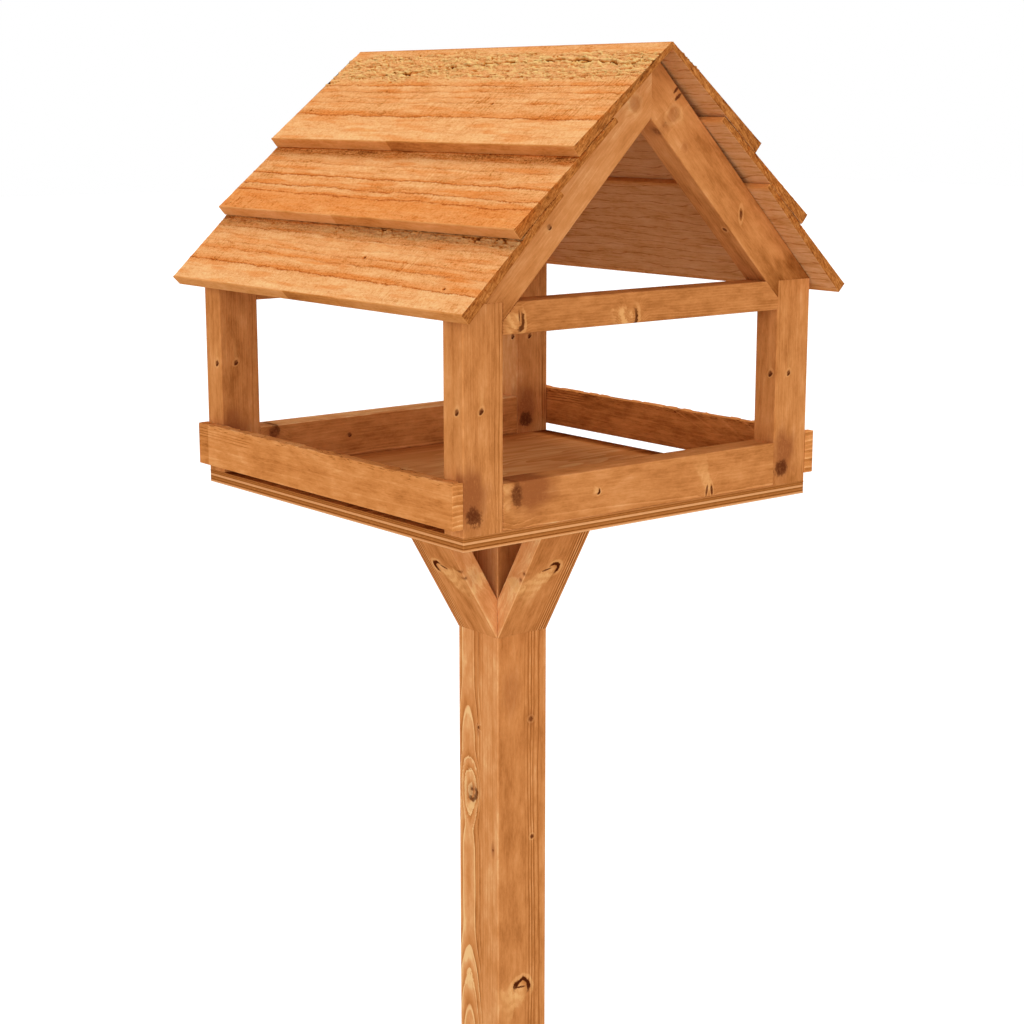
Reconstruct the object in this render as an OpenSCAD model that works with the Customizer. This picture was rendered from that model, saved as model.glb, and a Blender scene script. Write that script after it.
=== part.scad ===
// Free-standing bird table: a square pole on a halved cross foot, a plywood
// tray with four corner posts, and a 45 degree gabled roof of lapped
// feather-edge boards. Millimetres, +Z up, front gable towards -Y, origin on
// the floor under the middle of the pole.

/* [Tray] */
// Side of the square plywood platform
platform_side = 440; // [400:5:480]
// Thickness of the platform
platform_thick = 13; // [9:1:18]
// Width of the planed battens used for rails and rafters
batten_w = 44; // [38:1:48]
// Width of the corner posts
post_w = 45.5; // [38:0.5:50]
// Thickness of the same battens
batten_t = 29; // [22:1:32]
// Height of the corner posts
post_h = 207; // [190:1:240]

/* [Side rails] */
// Height of the thin rails nailed outside the posts
side_rail_h = 43; // [30:1:50]
// Thickness of the thin rails
side_rail_t = 12; // [9:1:16]
// Drain gap between the platform and the thin rails
drain_gap = 8; // [5:1:12]

/* [Pole and foot] */
// Side of the square pole
pole_w = 66; // [60:1:75]
// Length of the pole between foot and platform
pole_len = 1160; // [900:10:1300]
// Thickness of the diagonal braces
brace_t = 22; // [18:1:28]
// Lean of the braces away from the pole, in degrees
brace_lean = 30.5; // [28:0.5:35]
// Height that each brace covers along the pole
brace_rise = 152; // [120:1:180]
// Length of the two crossed foot beams
foot_len = 600; // [520:10:680]
// Height of the foot beams
foot_h = 44; // [38:1:50]
// Bevel on the upper ends of the foot beams
foot_bevel = 14; // [5:1:20]

/* [Roof] */
// Pitch of the rafters, in degrees
pitch = 45; // [42:1:48]
// Overhang of the boards past the gable rafters
verge = 27; // [15:1:45]
// Width of a feather-edge board
board_w = 150; // [148:1:160]
// Thickness of a board at its lower edge
board_thick = 12; // [10:0.5:14]
// Thickness of a board at its upper edge
board_thin = 5.5; // [4:0.5:6]
// Distance down the rafter from the apex to the eave edge
eave_reach = 330; // [326:1:334]
// How far the lowest board shows below the middle one
lower_reveal = 89; // [84:1:92]
// How far the middle board shows below the upper one
middle_reveal = 96; // [92:1:98]

/* [Hidden] */

half_side = platform_side / 2;
half_pole = pole_w / 2;
post_inner = half_side - post_w;
frame_inner = half_side - batten_t;
cut_margin = 50;

// Heights above the floor
platform_under = foot_h + pole_len;
platform_top = platform_under + platform_thick;
post_top = platform_top + post_h;
apex_z = post_top + half_side * tan(pitch);
soffit_apex_z = apex_z - batten_w / cos(pitch);

// Roof boards, worked out down the rafter (s) and square to it (n)
taper = atan((board_thick - board_thin) / board_w);
lower_top_s = eave_reach - board_w;
middle_end_s = eave_reach - lower_reveal;
middle_top_s = middle_end_s - board_w;
upper_end_s = middle_end_s - middle_reveal;
// The middle board leans on the thin upper edge of the lowest board
middle_tilt = atan(board_thin / (lower_top_s - middle_top_s));
// The upper board leans on the face of the middle board with its thick edge
middle_face_tilt = middle_tilt + taper;
apex_above_face = middle_top_s * sin(middle_face_tilt) - board_thin * cos(taper);
upper_tilt = middle_face_tilt - asin(apex_above_face / upper_end_s);

timber = "#b8763f";
dark_timber = "#9c5f30";
rough_timber = "#d6a06c";
plywood = "#a86f42";

// Draws a shape of the X-Z plane as a piece that runs along Y
module along_y(y_from, y_to) {
    translate([0, y_to, 0])
        rotate([90, 0, 0])
            linear_extrude(y_to - y_from)
                children();
}

// Turns the front, with its outside towards -Y, into the back
module at_gable(back) {
    mirror([0, back ? 1 : 0, 0])
        children();
}

// Turns the right side into the left
module at_side(left) {
    mirror([left ? 1 : 0, 0, 0])
        children();
}

// One foot beam along X, halved at the middle: the notch is above or below
module foot_beam(notch_z) {
    half = foot_len / 2;
    difference() {
        along_y(-half_pole, half_pole)
            polygon([
                [-half, 0],
                [half, 0],
                [half, foot_h - foot_bevel],
                [half - foot_bevel, foot_h],
                [-half + foot_bevel, foot_h],
                [-half, foot_h - foot_bevel]
            ]);
        translate([-half_pole, -half_pole - cut_margin, notch_z])
            cube([pole_w, pole_w + 2 * cut_margin, foot_h]);
    }
}

module foot_long() {
    color(timber)
        foot_beam(foot_h / 2);
}

module foot_cross() {
    color(timber)
        rotate([0, 0, 90])
            foot_beam(-foot_h / 2);
}

// Outline of a brace in the X-Z plane, standing on the origin level beside
// the pole and leaning out as it goes down
module brace_outline() {
    reach = brace_rise * tan(brace_lean);
    polygon([
        [half_pole + reach - brace_t / cos(brace_lean), 0],
        [half_pole + reach, 0],
        [half_pole, brace_rise],
        [half_pole, brace_rise - brace_t / sin(brace_lean)]
    ]);
}

module foot_brace(turn) {
    color(timber)
        translate([0, 0, foot_h])
            rotate([0, 0, turn])
                along_y(-half_pole, half_pole)
                    brace_outline();
}

module head_brace(turn) {
    color(timber)
        translate([0, 0, platform_under])
            mirror([0, 0, 1])
                rotate([0, 0, turn])
                    along_y(-half_pole, half_pole)
                        brace_outline();
}

module pole() {
    color(timber)
        translate([-half_pole, -half_pole, foot_h])
            cube([pole_w, pole_w, pole_len]);
}

module platform() {
    color(plywood)
        translate([-half_side, -half_side, platform_under])
            cube([platform_side, platform_side, platform_thick]);
}

module post(back, left) {
    color(timber)
        at_gable(back)
            at_side(left)
                translate([post_inner, -half_side, platform_top])
                    cube([post_w, batten_t, post_h]);
}

// Rail between the posts, on edge on the platform
module cross_rail(back) {
    color(timber)
        at_gable(back)
            translate([-post_inner, -half_side, platform_top])
                cube([2 * post_inner, batten_t, batten_w]);
}

// Thin rail nailed to the outside of the posts, clear of the platform
module side_rail(left) {
    color(timber)
        at_side(left)
            translate([half_side, -half_side, platform_top + drain_gap])
                cube([side_rail_t, platform_side, side_rail_h]);
}

// Beam between the post heads, its corners cut to the underside of the rafters
module tie_beam(back) {
    corner_z = soffit_apex_z - post_inner * tan(pitch);
    corner_x = (soffit_apex_z - post_top) / tan(pitch);
    color(dark_timber)
        at_gable(back)
            along_y(-half_side, -frame_inner)
                polygon([
                    [-post_inner, post_top - batten_t],
                    [post_inner, post_top - batten_t],
                    [post_inner, corner_z],
                    [corner_x, post_top],
                    [-corner_x, post_top],
                    [-post_inner, corner_z]
                ]);
}

// Rafter with a plumb mitre at the apex and a birdsmouth over the post head
module rafter(back, left) {
    color(timber)
        at_gable(back)
            at_side(left)
                along_y(-half_side, -frame_inner)
                    polygon([
                        [0, apex_z],
                        [half_side, post_top],
                        [post_inner, post_top],
                        [post_inner, soffit_apex_z - post_inner * tan(pitch)],
                        [0, soffit_apex_z]
                    ]);
}

// Point s down the rafter's upper edge and n above it, in the X-Z plane
function on_rafter(s, n) = [
    s * cos(pitch) + n * sin(pitch),
    apex_z - s * sin(pitch) + n * cos(pitch)
];

// Point of a tilted board: along it from a start on the rafter, and above it
function on_board(start, tilt, along, above) = on_rafter(
    start + along * cos(tilt) - above * sin(tilt),
    along * sin(tilt) + above * cos(tilt)
);

// Section of a feather-edge board, thin at its upper edge and thick at its lower
// one. It turns about a point on the rafter, and may run past it at the top
module board_section(start, tilt, past = 0) {
    polygon([
        on_board(start, tilt, -past, 0),
        on_board(start, tilt, board_w - past, 0),
        on_board(start, tilt, board_w - past, board_thick),
        on_board(start, tilt, -past, board_thin)
    ]);
}

module roof_board(left, start, tilt) {
    color(rough_timber)
        at_side(left)
            along_y(-half_side - verge, half_side + verge)
                board_section(start, tilt);
}

// Upper board: it starts past the apex and is cut plumb against its twin
module ridge_board(left) {
    color(rough_timber)
        at_side(left)
            along_y(-half_side - verge, half_side + verge)
                intersection() {
                    board_section(0, upper_tilt, board_w - upper_end_s);
                    translate([0, apex_z - board_w])
                        square(2 * board_w);
                }
}

foot_long();
foot_cross();
foot_brace(180);  // foot_brace_left
foot_brace(0);  // foot_brace_right
foot_brace(-90);  // foot_brace_front
foot_brace(90);  // foot_brace_back
pole();
head_brace(180);  // head_brace_left
head_brace(0);  // head_brace_right
head_brace(-90);  // head_brace_front
head_brace(90);  // head_brace_back
platform();
post(false, true);  // post_front_left
post(false, false);  // post_front_right
post(true, true);  // post_back_left
post(true, false);  // post_back_right
cross_rail(false);  // rail_front
cross_rail(true);  // rail_back
side_rail(true);  // rail_left
side_rail(false);  // rail_right
tie_beam(false);  // tie_beam_front
tie_beam(true);  // tie_beam_back
rafter(false, true);  // rafter_front_left
rafter(false, false);  // rafter_front_right
rafter(true, true);  // rafter_back_left
rafter(true, false);  // rafter_back_right
roof_board(true, lower_top_s, 0);  // roof_board_left_lower
roof_board(true, middle_top_s, middle_tilt);  // roof_board_left_middle
ridge_board(true);  // roof_board_left_upper
roof_board(false, lower_top_s, 0);  // roof_board_right_lower
roof_board(false, middle_top_s, middle_tilt);  // roof_board_right_middle
ridge_board(false);  // roof_board_right_upper
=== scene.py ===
"""Looks of the bird table: planed and stained timbers with eased arrises, rough
feather-edge boards on the roof and a plywood tray floor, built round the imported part.

Lengths in this script are millimetres until a mesh or a lamp is made."""

import math
from types import SimpleNamespace

import bpy
import numpy as np
from mathutils import Matrix, Vector


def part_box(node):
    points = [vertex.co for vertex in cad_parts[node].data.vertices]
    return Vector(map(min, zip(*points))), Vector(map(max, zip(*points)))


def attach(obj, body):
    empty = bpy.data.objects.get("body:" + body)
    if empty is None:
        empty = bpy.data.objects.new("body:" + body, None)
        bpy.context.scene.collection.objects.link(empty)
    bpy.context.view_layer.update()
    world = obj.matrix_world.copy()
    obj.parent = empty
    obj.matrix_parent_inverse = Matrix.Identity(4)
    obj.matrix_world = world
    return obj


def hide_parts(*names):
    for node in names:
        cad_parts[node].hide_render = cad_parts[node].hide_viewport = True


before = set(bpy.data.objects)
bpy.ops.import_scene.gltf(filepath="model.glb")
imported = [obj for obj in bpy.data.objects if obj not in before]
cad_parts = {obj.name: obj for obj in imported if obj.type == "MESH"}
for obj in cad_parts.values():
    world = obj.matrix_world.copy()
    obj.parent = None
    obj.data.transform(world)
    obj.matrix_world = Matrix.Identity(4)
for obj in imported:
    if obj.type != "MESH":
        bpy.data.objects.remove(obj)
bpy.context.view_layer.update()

METRE = 1000.0
X, Y, Z = (1, 0, 0), (0, 1, 0), (0, 0, 1)


# ---------------------------------------------------------------- shader sums


class Value:
    """A socket in a Python sum. An operator on it adds the Math node that it names."""

    def __init__(self, finish, socket):
        self.finish, self.socket = finish, socket

    def __add__(self, other):
        return self.finish.math("ADD", self, other)

    def __radd__(self, other):
        return self.finish.math("ADD", other, self)

    def __sub__(self, other):
        return self.finish.math("SUBTRACT", self, other)

    def __rsub__(self, other):
        return self.finish.math("SUBTRACT", other, self)

    def __mul__(self, other):
        return self.finish.math("MULTIPLY", self, other)

    def __rmul__(self, other):
        return self.finish.math("MULTIPLY", other, self)

    def __truediv__(self, other):
        return self.finish.math("DIVIDE", self, other)

    def __pow__(self, other):
        return self.finish.math("POWER", self, other)

    def __abs__(self):
        return self.finish.math("ABSOLUTE", self)


class Finish:
    """Builds one node tree. Every node comes from node(), and numbers alone stay in Python."""

    def __init__(self, owner):
        owner.use_nodes = True
        self.owner, self.tree = owner, owner.node_tree
        self.tree.nodes.clear()

    def node(self, kind, settings=None, inputs=None, output=0):
        """One node: its settings first, a ramp's stops among them, then its sockets."""
        made = self.tree.nodes.new("ShaderNode" + kind)
        for name, value in (settings or {}).items():
            if name == "stops":
                self.place_stops(made.color_ramp, value)
            else:
                setattr(made, name, value)
        for name, value in (inputs or {}).items():
            socket = made.inputs[name]
            if isinstance(value, Value):
                self.tree.links.new(value.socket, socket)
                continue
            colour = isinstance(value, tuple) and len(value) == 3 and len(socket.default_value) == 4
            socket.default_value = (*value, 1.0) if colour else value
        return Value(self, made.outputs[output]) if made.outputs else None

    def place_stops(self, ramp, stops):
        """Fills a colour ramp with stops, each a place from 0 to 1 and a colour."""
        while len(ramp.elements) < len(stops):
            ramp.elements.new(0.5)
        for element, (place, colour) in zip(ramp.elements, stops):
            element.position = place
            element.color = (*colour, 1.0)

    def math(self, operation, *values):
        return self.node("Math", {"operation": operation}, dict(enumerate(values)))

    def smooth(self, value, start, end, low=0.0, high=1.0):
        """low before start, high after end, an S curve between. start may be above end."""
        if start > end:
            start, end, low, high = end, start, high, low
        return self.node(
            "MapRange",
            {"interpolation_type": "SMOOTHSTEP"},
            {"Value": value, "From Min": start, "From Max": end, "To Min": low, "To Max": high},
        )

    def root(self, value):
        return self.math("SQRT", value)

    def part(self, value):
        return self.math("FRACT", value)

    def limit(self, value, low=0.0, high=1.0):
        return self.math("MINIMUM", self.math("MAXIMUM", value, low), high)

    def vector(self, x, y, z):
        return self.node("CombineXYZ", None, {0: x, 1: y, 2: z})

    def noise(self, x, y, z, detail=2.0, roughness=0.5, distortion=0.0):
        """Smooth random value about 0, nearly always within 0.35 of it. Its features are
        about 1 across, so noise(x / 50, y / 3, z / 3) has them 50 mm long and 3 mm wide."""
        found = self.node(
            "TexNoise",
            {"noise_dimensions": "3D"},
            {
                "Vector": self.vector(x, y, z),
                "Scale": 1.0,
                "Detail": detail,
                "Roughness": roughness,
                "Distortion": distortion,
            },
        )
        return found - 0.5

    def chance(self, value):
        """A random number from 0 to 1 for each whole number."""
        return self.node("TexWhiteNoise", {"noise_dimensions": "1D"}, {"W": value})

    def attribute(self, name):
        return self.node("Attribute", {"attribute_name": name}, output=2)

    def blend(self, share, first, second):
        """Colour between two colours."""
        return self.node(
            "Mix", {"data_type": "RGBA"}, {0: share, 6: first, 7: second}, output=2
        )

    def deepen(self, share, colour, by):
        """A colour multiplied by another, as a shadow or a wet stain deepens wood."""
        settings = {"data_type": "RGBA", "blend_type": "MULTIPLY"}
        return self.node("Mix", settings, {0: share, 6: colour, 7: by}, output=2)

    def ramp(self, value, stops):
        return self.node("ValToRGB", {"stops": stops}, {0: value})

    def grain_space(self, origin, axes):
        """Object coordinates measured from origin along the piece's own axes, in mm."""
        turn = Matrix(axes)
        start = turn @ Vector(origin)
        where = self.node("TexCoord", output=3)
        placed = self.node(
            "Mapping",
            {"vector_type": "POINT"},
            {
                "Vector": where,
                "Scale": (METRE,) * 3,
                "Rotation": tuple(turn.to_euler("XYZ")),
                "Location": tuple(-start),
            },
        )
        return self.split(placed)

    def split(self, vector):
        first = self.node("SeparateXYZ", None, {0: vector})
        return [Value(self, socket) for socket in first.socket.node.outputs]

    def facing(self, axis):
        """How squarely the surface faces along an axis: 1 straight on, 0 side on."""
        normal = self.node("TexCoord", output=1)
        along = self.node(
            "VectorMath", {"operation": "DOT_PRODUCT"}, {0: normal, 1: tuple(axis)}, output=1
        )
        return abs(along)

    def sawn_end(self, grain):
        """1 on the sawn ends, which face along the grain, and 0 on the other faces."""
        return self.smooth(self.facing(grain), 0.62, 0.8)

    def surface(self, colour, roughness, height, depth):
        """The shader: a bump of the given depth in mm, on open-pored wood without gloss."""
        bump = self.node(
            "Bump", None, {"Strength": 1.0, "Distance": depth / METRE, "Height": height}
        )
        shader = self.node(
            "BsdfPrincipled",
            None,
            {
                "Base Color": colour,
                "Roughness": roughness,
                "Specular IOR Level": 0.0,
                "Normal": bump,
            },
        )
        self.node("OutputMaterial", None, {"Surface": shader})
        return self.owner


# ---------------------------------------------------------------- knots


class Knot:
    """Where a branch crosses a timber. at is in the piece's own mm: along the grain,
    then across. turn is the branch's direction across the piece, in degrees from its
    third axis, and size is its radius. What follows is what a knot has unless it wants
    something else; its angles are in degrees from the grain."""

    # Shares of dark heart, brown cloud, dark crescent, pale flame, curls in the flame,
    # pale rings round it and pale rim
    heart, cloud, crescent, flame, curl, halo, rim = 0.6, 0.3, 0.0, 0.0, 0.0, 0.0, 0.0
    # The side that its crescent is on, the way its flame runs, the turn of its long side
    lie, toward, tilt = 0.0, 180.0, 0.0
    # Its length for its width, how far the cloud is drawn out along the grain, and how
    # far the cloud is moved along and across
    tall, trail, rise, aside = 1.0, 1.0, 0.0, 0.0
    # The flame's length and how much it widens, in branch radii
    reach, spread = 4.6, 0.22
    # Its depth in mm where it stops inside the timber, how much the rings swell round
    # it, and how uneven its rings and its cloud are
    deep, bulge, twist = None, 1.0, 0.0
    # How much further round the crescent goes, and its width in the middle
    wrap, thick = 0.0, 0.3

    def __init__(self, at, turn, size, **wants):
        self.at, self.turn, self.size = at, turn, size
        for name, value in wants.items():
            assert hasattr(Knot, name), name
            setattr(self, name, value)


def turned(along, across, degrees):
    """Two coordinates, measured along and across a line at an angle to the grain."""
    c, s = math.cos(math.radians(degrees)), math.sin(math.radians(degrees))
    return along * c + across * s, across * c - along * s


def crescent_marks(f, knot, along, across, reach, near):
    """A dark arc on one side of a knot's rim, with pale wood outside it where the knot
    has a flame. The arc is widest in the middle and fades out round the knot."""
    lie = math.radians(knot.lie)
    side = (along * math.cos(lie) + across * math.sin(lie)) / (reach + 0.15)
    facing = f.smooth(side, -knot.wrap, 0.85 - knot.wrap) * near
    width = facing * knot.thick + 0.05
    dark = f.smooth(abs(reach - 1.0) / width, 1.25, 0.6) * facing * knot.crescent
    if not knot.flame:
        return dark, []
    return dark, [f.smooth(abs(reach - 1.55), 0.34, 0.1) * facing * (knot.flame * 0.8)]


def flame_mark(f, knot, along, across, reach, near, wave):
    """Pale grain that runs from a knot, wider as it goes, with curls in it if wanted."""
    ahead, off = turned(along, across, knot.toward)
    glow = f.smooth(ahead, -0.9, 0.4) * f.smooth(ahead, knot.reach, knot.reach * 0.25)
    beside = f.smooth(abs(off + wave * 2) - ahead * knot.spread, 1.2, 0.4)
    glow = glow * beside * near * knot.flame
    if knot.curl:
        ripple = abs(f.part(reach * 0.62 + off * 0.35 + wave * 1.2) - 0.5)
        glow = glow * (f.smooth(ripple, 0.10, 0.40) * (2.0 * knot.curl) + (1.0 - knot.curl))
    return glow


def knot_marks(f, own, knot, wave, speckle):
    """The marks of one knot, worked out in its own section, across the branch and in
    branch radii: how far the rings swell round it, its heart, its cloud, its crescent
    and its flame. A branch that stops inside the timber is faded out with depth."""
    up, right, back = (value - start for value, start in zip(own, knot.at))
    turn = math.radians(knot.turn)
    c, s = math.cos(turn), math.sin(turn)
    along, across = up / knot.size, (back * c - right * s) / knot.size
    longways, sideways = turned(along, across, knot.tilt)
    longways = longways / knot.tall
    reach = f.root(longways * longways + sideways * sideways) + wave
    uneven = 0.0
    if knot.twist:
        place = (longways * 0.55 + knot.at[0], sideways * 0.55, knot.size * 7.7)
        uneven = f.noise(*place, detail=2.0) * knot.twist
        reach = reach + uneven
    near = 1.0
    if knot.deep is not None:
        near = f.smooth(abs(right * c + back * s), knot.deep * 1.6, knot.deep)
    marks = {"swell": f.smooth(reach, 3.4, 0.3) * (knot.size * 1.5 * knot.bulge)}
    pale = []
    if knot.heart:
        mottle = f.limit(speckle * 1.5 + knot.heart)
        marks["heart"] = f.smooth(reach + speckle * 0.8, 1.15, 0.65) * near * mottle
    if knot.cloud:
        moved, beside = along - knot.rise, across - knot.aside
        drawn = f.root(moved * moved / knot.trail**2 + beside * beside) + wave * 1.6 + uneven
        marks["cloud"] = f.smooth(drawn, 2.5, 0.5) * near * knot.cloud
    if knot.crescent:
        marks["crescent"], pale = crescent_marks(f, knot, along, across, reach, near)
    if knot.flame:
        pale.append(flame_mark(f, knot, along, across, reach, near, wave))
    if knot.rim:
        pale.append(f.smooth(abs(reach - 1.6), 0.55, 0.15) * near * knot.rim)
    if knot.halo:
        rings = f.smooth(abs(f.part(reach * 0.9 + wave) - 0.5), 0.34, 0.08)
        rings = rings * f.smooth(reach, 3.4, 1.4) * f.smooth(reach, 0.7, 1.3)
        pale.append(rings * near * knot.halo)
    if pale:
        marks["flame"] = sum(pale[1:], pale[0])
    return marks


def with_knots(f, own, knots, ring, wave, speckle):
    """The rings bulged by every knot, and each kind of mark added up over the knots."""
    marks = {}
    for knot in knots:
        found = knot_marks(f, own, knot, wave, speckle)
        ring = ring + found.pop("swell")
        for kind, share in found.items():
            marks[kind] = marks[kind] + share if kind in marks else share
    return ring, marks


# ---------------------------------------------------------------- planed wood


def zone(f, own, limits):
    """Share of a piece inside limits, each (axis, from, to): an S curve for each."""
    share = 1.0
    for side, start, end in limits:
        share = f.smooth(own[side], start, end) * share
    return share


STAIN = [
    (0.0, (0.150, 0.036, 0.007)),
    (0.18, (0.280, 0.083, 0.016)),
    (0.36, (0.430, 0.148, 0.036)),
    (0.50, (0.552, 0.203, 0.056)),
    (0.62, (0.626, 0.244, 0.072)),
    (0.74, (0.694, 0.290, 0.098)),
    (0.86, (0.764, 0.358, 0.135)),
    (1.0, (0.872, 0.525, 0.228)),
]
# Crescents, hearts, clouds and flames of knots
KNOT_DARK = (0.080, 0.015, 0.003)
KNOT_HEART = (0.130, 0.032, 0.009)
CLOUDED = (0.330, 0.098, 0.028)
GOLDEN = (0.800, 0.410, 0.140)


def shaded(stops, tone):
    """The same stain, deeper or paler by a share for each of red, green and blue."""
    return [(p, tuple(min(c * t, 1.0) for c, t in zip(colour, tone))) for p, colour in stops]


def knot_colours(f, colour, marks, speckle):
    """Lays a knot's colours over the stain: golden flames, then brown clouds, dark red
    hearts and nearly black crescents."""
    if "flame" in marks:
        colour = f.blend(f.limit(marks["flame"] * 0.6, 0.0, 0.75), colour, GOLDEN)
    if "cloud" in marks:
        cloud = f.limit(marks["cloud"] * (1.0 + speckle * 1.6), 0.0, 0.92)
        colour = f.blend(cloud, colour, CLOUDED)
    if "heart" in marks:
        colour = f.blend(f.limit(marks["heart"]), colour, KNOT_HEART)
    if "crescent" in marks:
        colour = f.blend(f.limit(marks["crescent"]), colour, KNOT_DARK)
    return colour


def planed_timber(name, origin, axes, heart, spacing=3.0, lean=0.0, wander=3.0, ripple=1.7,
                  seed=0.0, tone=(1, 1, 1), lines=0.05, lined=(), dense=0.40, beyond=0.0,
                  bends=(), creases=(), streaks=1.0, flecks=(), level=0.0, paler=(), knots=(),
                  ends=0.0, end_rings=1.0):
    """Planed softwood under a brown stain. The growth rings are the distance from the
    heart of the tree, which wanders along the piece and bulges round the knots; bends
    gives (from, to, amount) for where it bends by more. The dense late wood of each
    ring takes less stain, so it shows as a thin pale line, as strong as lines; beyond
    deepens the wood past it. lined, paler and flecks give a share and its limits for
    where the rings show more, where the wood is made paler (deeper for a negative share)
    and where dark flecks lie. Some paler zones hold less stain, others are painted light
    on lit faces and painted shade on inner faces and at the rafters' feet. creases gives
    (axis, place, width, share) and limits for single dark lines. ends is how much paler
    the sawn ends are, and end_rings how well the rings show there. The arrises get a
    painted highlight."""
    f = Finish(bpy.data.materials.new(name))
    own = x, y, z = f.grain_space(origin, axes)
    slow = f.noise(x / 210 + seed, y / 70, z / 70, detail=1.0)
    quick = f.noise(x / 55 + seed, y / 14, z / 14, detail=2.0)
    speckle = f.noise(x / 3.2, y / 2.4, z / 2.4 + seed, detail=2.0, roughness=0.6)
    streak = f.noise(x / 50 + seed, y / 3.2, z / 3.2, detail=3.0, roughness=0.6, distortion=0.4)
    fine = f.noise(x / 8, y / 1.0, z / 1.0 + seed, detail=2.0, roughness=0.6)
    patch = f.noise(x / 26, y / 10, z / 10 + seed, detail=4.0, roughness=0.55)
    broad = f.noise(x / 110 + seed, y / 28, z / 28, detail=1.0)

    ring = f.root((y - heart[0]) ** 2 + (z - heart[1]) ** 2)
    ring = ring + x * lean + slow * (wander * 2.6) + quick * ripple
    for start, end, amount in bends:
        ring = ring + f.smooth(x, start, end) * amount
    ring, marks = with_knots(f, own, knots, ring, quick * 0.9 + speckle * 0.5, speckle)
    count = ring / spacing
    within = f.part(count)
    share = f.chance(count - within)
    late = f.smooth(within, dense, 0.86) * f.smooth(within, 1.0, 0.93)

    shown = lines
    for much, *limits in lined:
        shown = zone(f, own, limits) * much + shown
    tint = (
        0.56 + level
        + (late * (share + 0.35) + share * 0.55 - 0.6) * shown
        + streak * (0.28 * streaks)
        + fine * (0.24 * streaks)
        + patch * 0.66
        + broad * 0.42
        + speckle * 0.12
    )
    if beyond:
        tint = tint - f.smooth(within, 0.6, 0.0) * shown * beyond
    for side, at, wide, depth, *limits in creases:
        off = abs(own[side] - at + slow * 9 + quick * 2.2)
        strength = f.limit(patch * 3 + 0.75, 0.1, 1.0) * zone(f, own, limits) * depth
        tint = tint - f.smooth(off, wide, wide * 0.25) * strength
    for much, *limits in flecks:
        fleck = f.noise(x / 11 + seed, y / 1.1, z / 1.1, detail=1.0)
        tint = tint - f.smooth(fleck, 0.10, 0.22) * zone(f, own, limits) * much
    for much, *limits in paler:
        tint = tint + zone(f, own, limits) * much
    if "flame" in marks:
        tint = tint + marks["flame"] * 0.26

    sawn = f.sawn_end(axes[0])
    pores = f.noise(x / 3, y / 0.8, z / 0.8 + seed, detail=2.0)
    end_grain = ((late - 0.35) * 0.30 + (share - 0.5) * 0.30) * end_rings
    cut = 0.50 + ends + end_grain + pores * 0.4 + patch * 0.6
    tint = tint + sawn * (cut - tint)
    # Painted highlight along the eased arrises
    arris_highlight = f.attribute("arris") * (0.05 + patch * 0.22)
    colour = f.ramp(f.limit(tint + arris_highlight), shaded(STAIN, tone))
    colour = knot_colours(f, colour, marks, speckle)

    height = streak * 0.9 + fine * 0.6 + late * 0.3
    if "crescent" in marks:
        height = height - marks["crescent"] * 1.2
    roughness = f.limit(0.66 + fine * 0.30 - late * 0.05 + sawn * 0.2, 0.3, 0.95)
    return f.surface(colour, roughness, height, 0.20)


# ---------------------------------------------------------------- rough wood


BOARD = [
    (0.0, (0.150, 0.036, 0.006)),
    (0.14, (0.365, 0.112, 0.022)),
    (0.30, (0.570, 0.210, 0.050)),
    (0.42, (0.678, 0.280, 0.084)),
    (0.52, (0.735, 0.326, 0.113)),
    (0.64, (0.775, 0.366, 0.139)),
    (0.76, (0.803, 0.406, 0.163)),
    (0.88, (0.824, 0.448, 0.190)),
    (1.0, (0.842, 0.512, 0.228)),
]
# Colours laid over the stain: greyed fibre, and bright torn fibre, which also carries
# the painted highlight on lips and ledges
WEATHERED = (0.56, 0.31, 0.125)
STRAW = (0.872, 0.590, 0.225)
# Colours that deepen it: warm bands, grain lines, ring lines, and the two steps of
# painted shade into a dark place
EMBER = (0.925, 0.640, 0.380)
DIM = (0.74, 0.55, 0.42)
RULED = (0.64, 0.38, 0.20)
HALF_SHADOW = (0.82, 0.54, 0.28)
SHADOW = (0.24, 0.15, 0.11)
# The tone of the face beneath, and the distance between its grain lines
UNDERSIDE = (0.94, 1.07, 1.36)
GRAIN_GAP = 12.5
# Where a clamp held each board's thick edge, along the board
HELD = 282.0


def board_patterns(f, x, y, z, seed):
    """The random patterns of a rough board, each drawn out along the grain as its name
    says: jagged edges, broken lines, fibre, grit, hairs, saw marks and their patches,
    patches of stain, broad flames of colour and shreds of torn fibre."""
    return SimpleNamespace(
        jag=f.noise(x / 3.4 + seed, y / 7, z / 9, detail=4.0, roughness=0.85),
        broken=f.noise(x / 13 + seed, y / 16, z / 9, detail=2.0, roughness=0.7),
        fibre=f.noise(x / 6.5, y / 1.6, z / 2 + seed, detail=3.0, roughness=0.72),
        grit=f.noise(x / 2.0 + seed, y / 2.0, z / 2.0, detail=2.0, roughness=0.7),
        hair=f.noise(x / 26 + seed, y / 2.6, z / 3, detail=3.0, roughness=0.6),
        saw=f.noise(x / 2.1 + y * 0.06, y / 20, z / 9 + seed, detail=2.0, roughness=0.6),
        hatch=f.smooth(f.noise(x / 90, y / 34 + seed, z / 20, detail=1.0), 0.0, 0.16),
        patch=f.noise(x / 60 + seed, y / 18, z / 20, detail=3.0, roughness=0.6),
        blaze=f.noise(x / 40, y / 8 + seed, z / 9, detail=2.0),
        shred=f.noise(x / 15, y / 2.0, z / 2 + seed, detail=4.0, roughness=0.70, distortion=0.6),
    )


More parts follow.
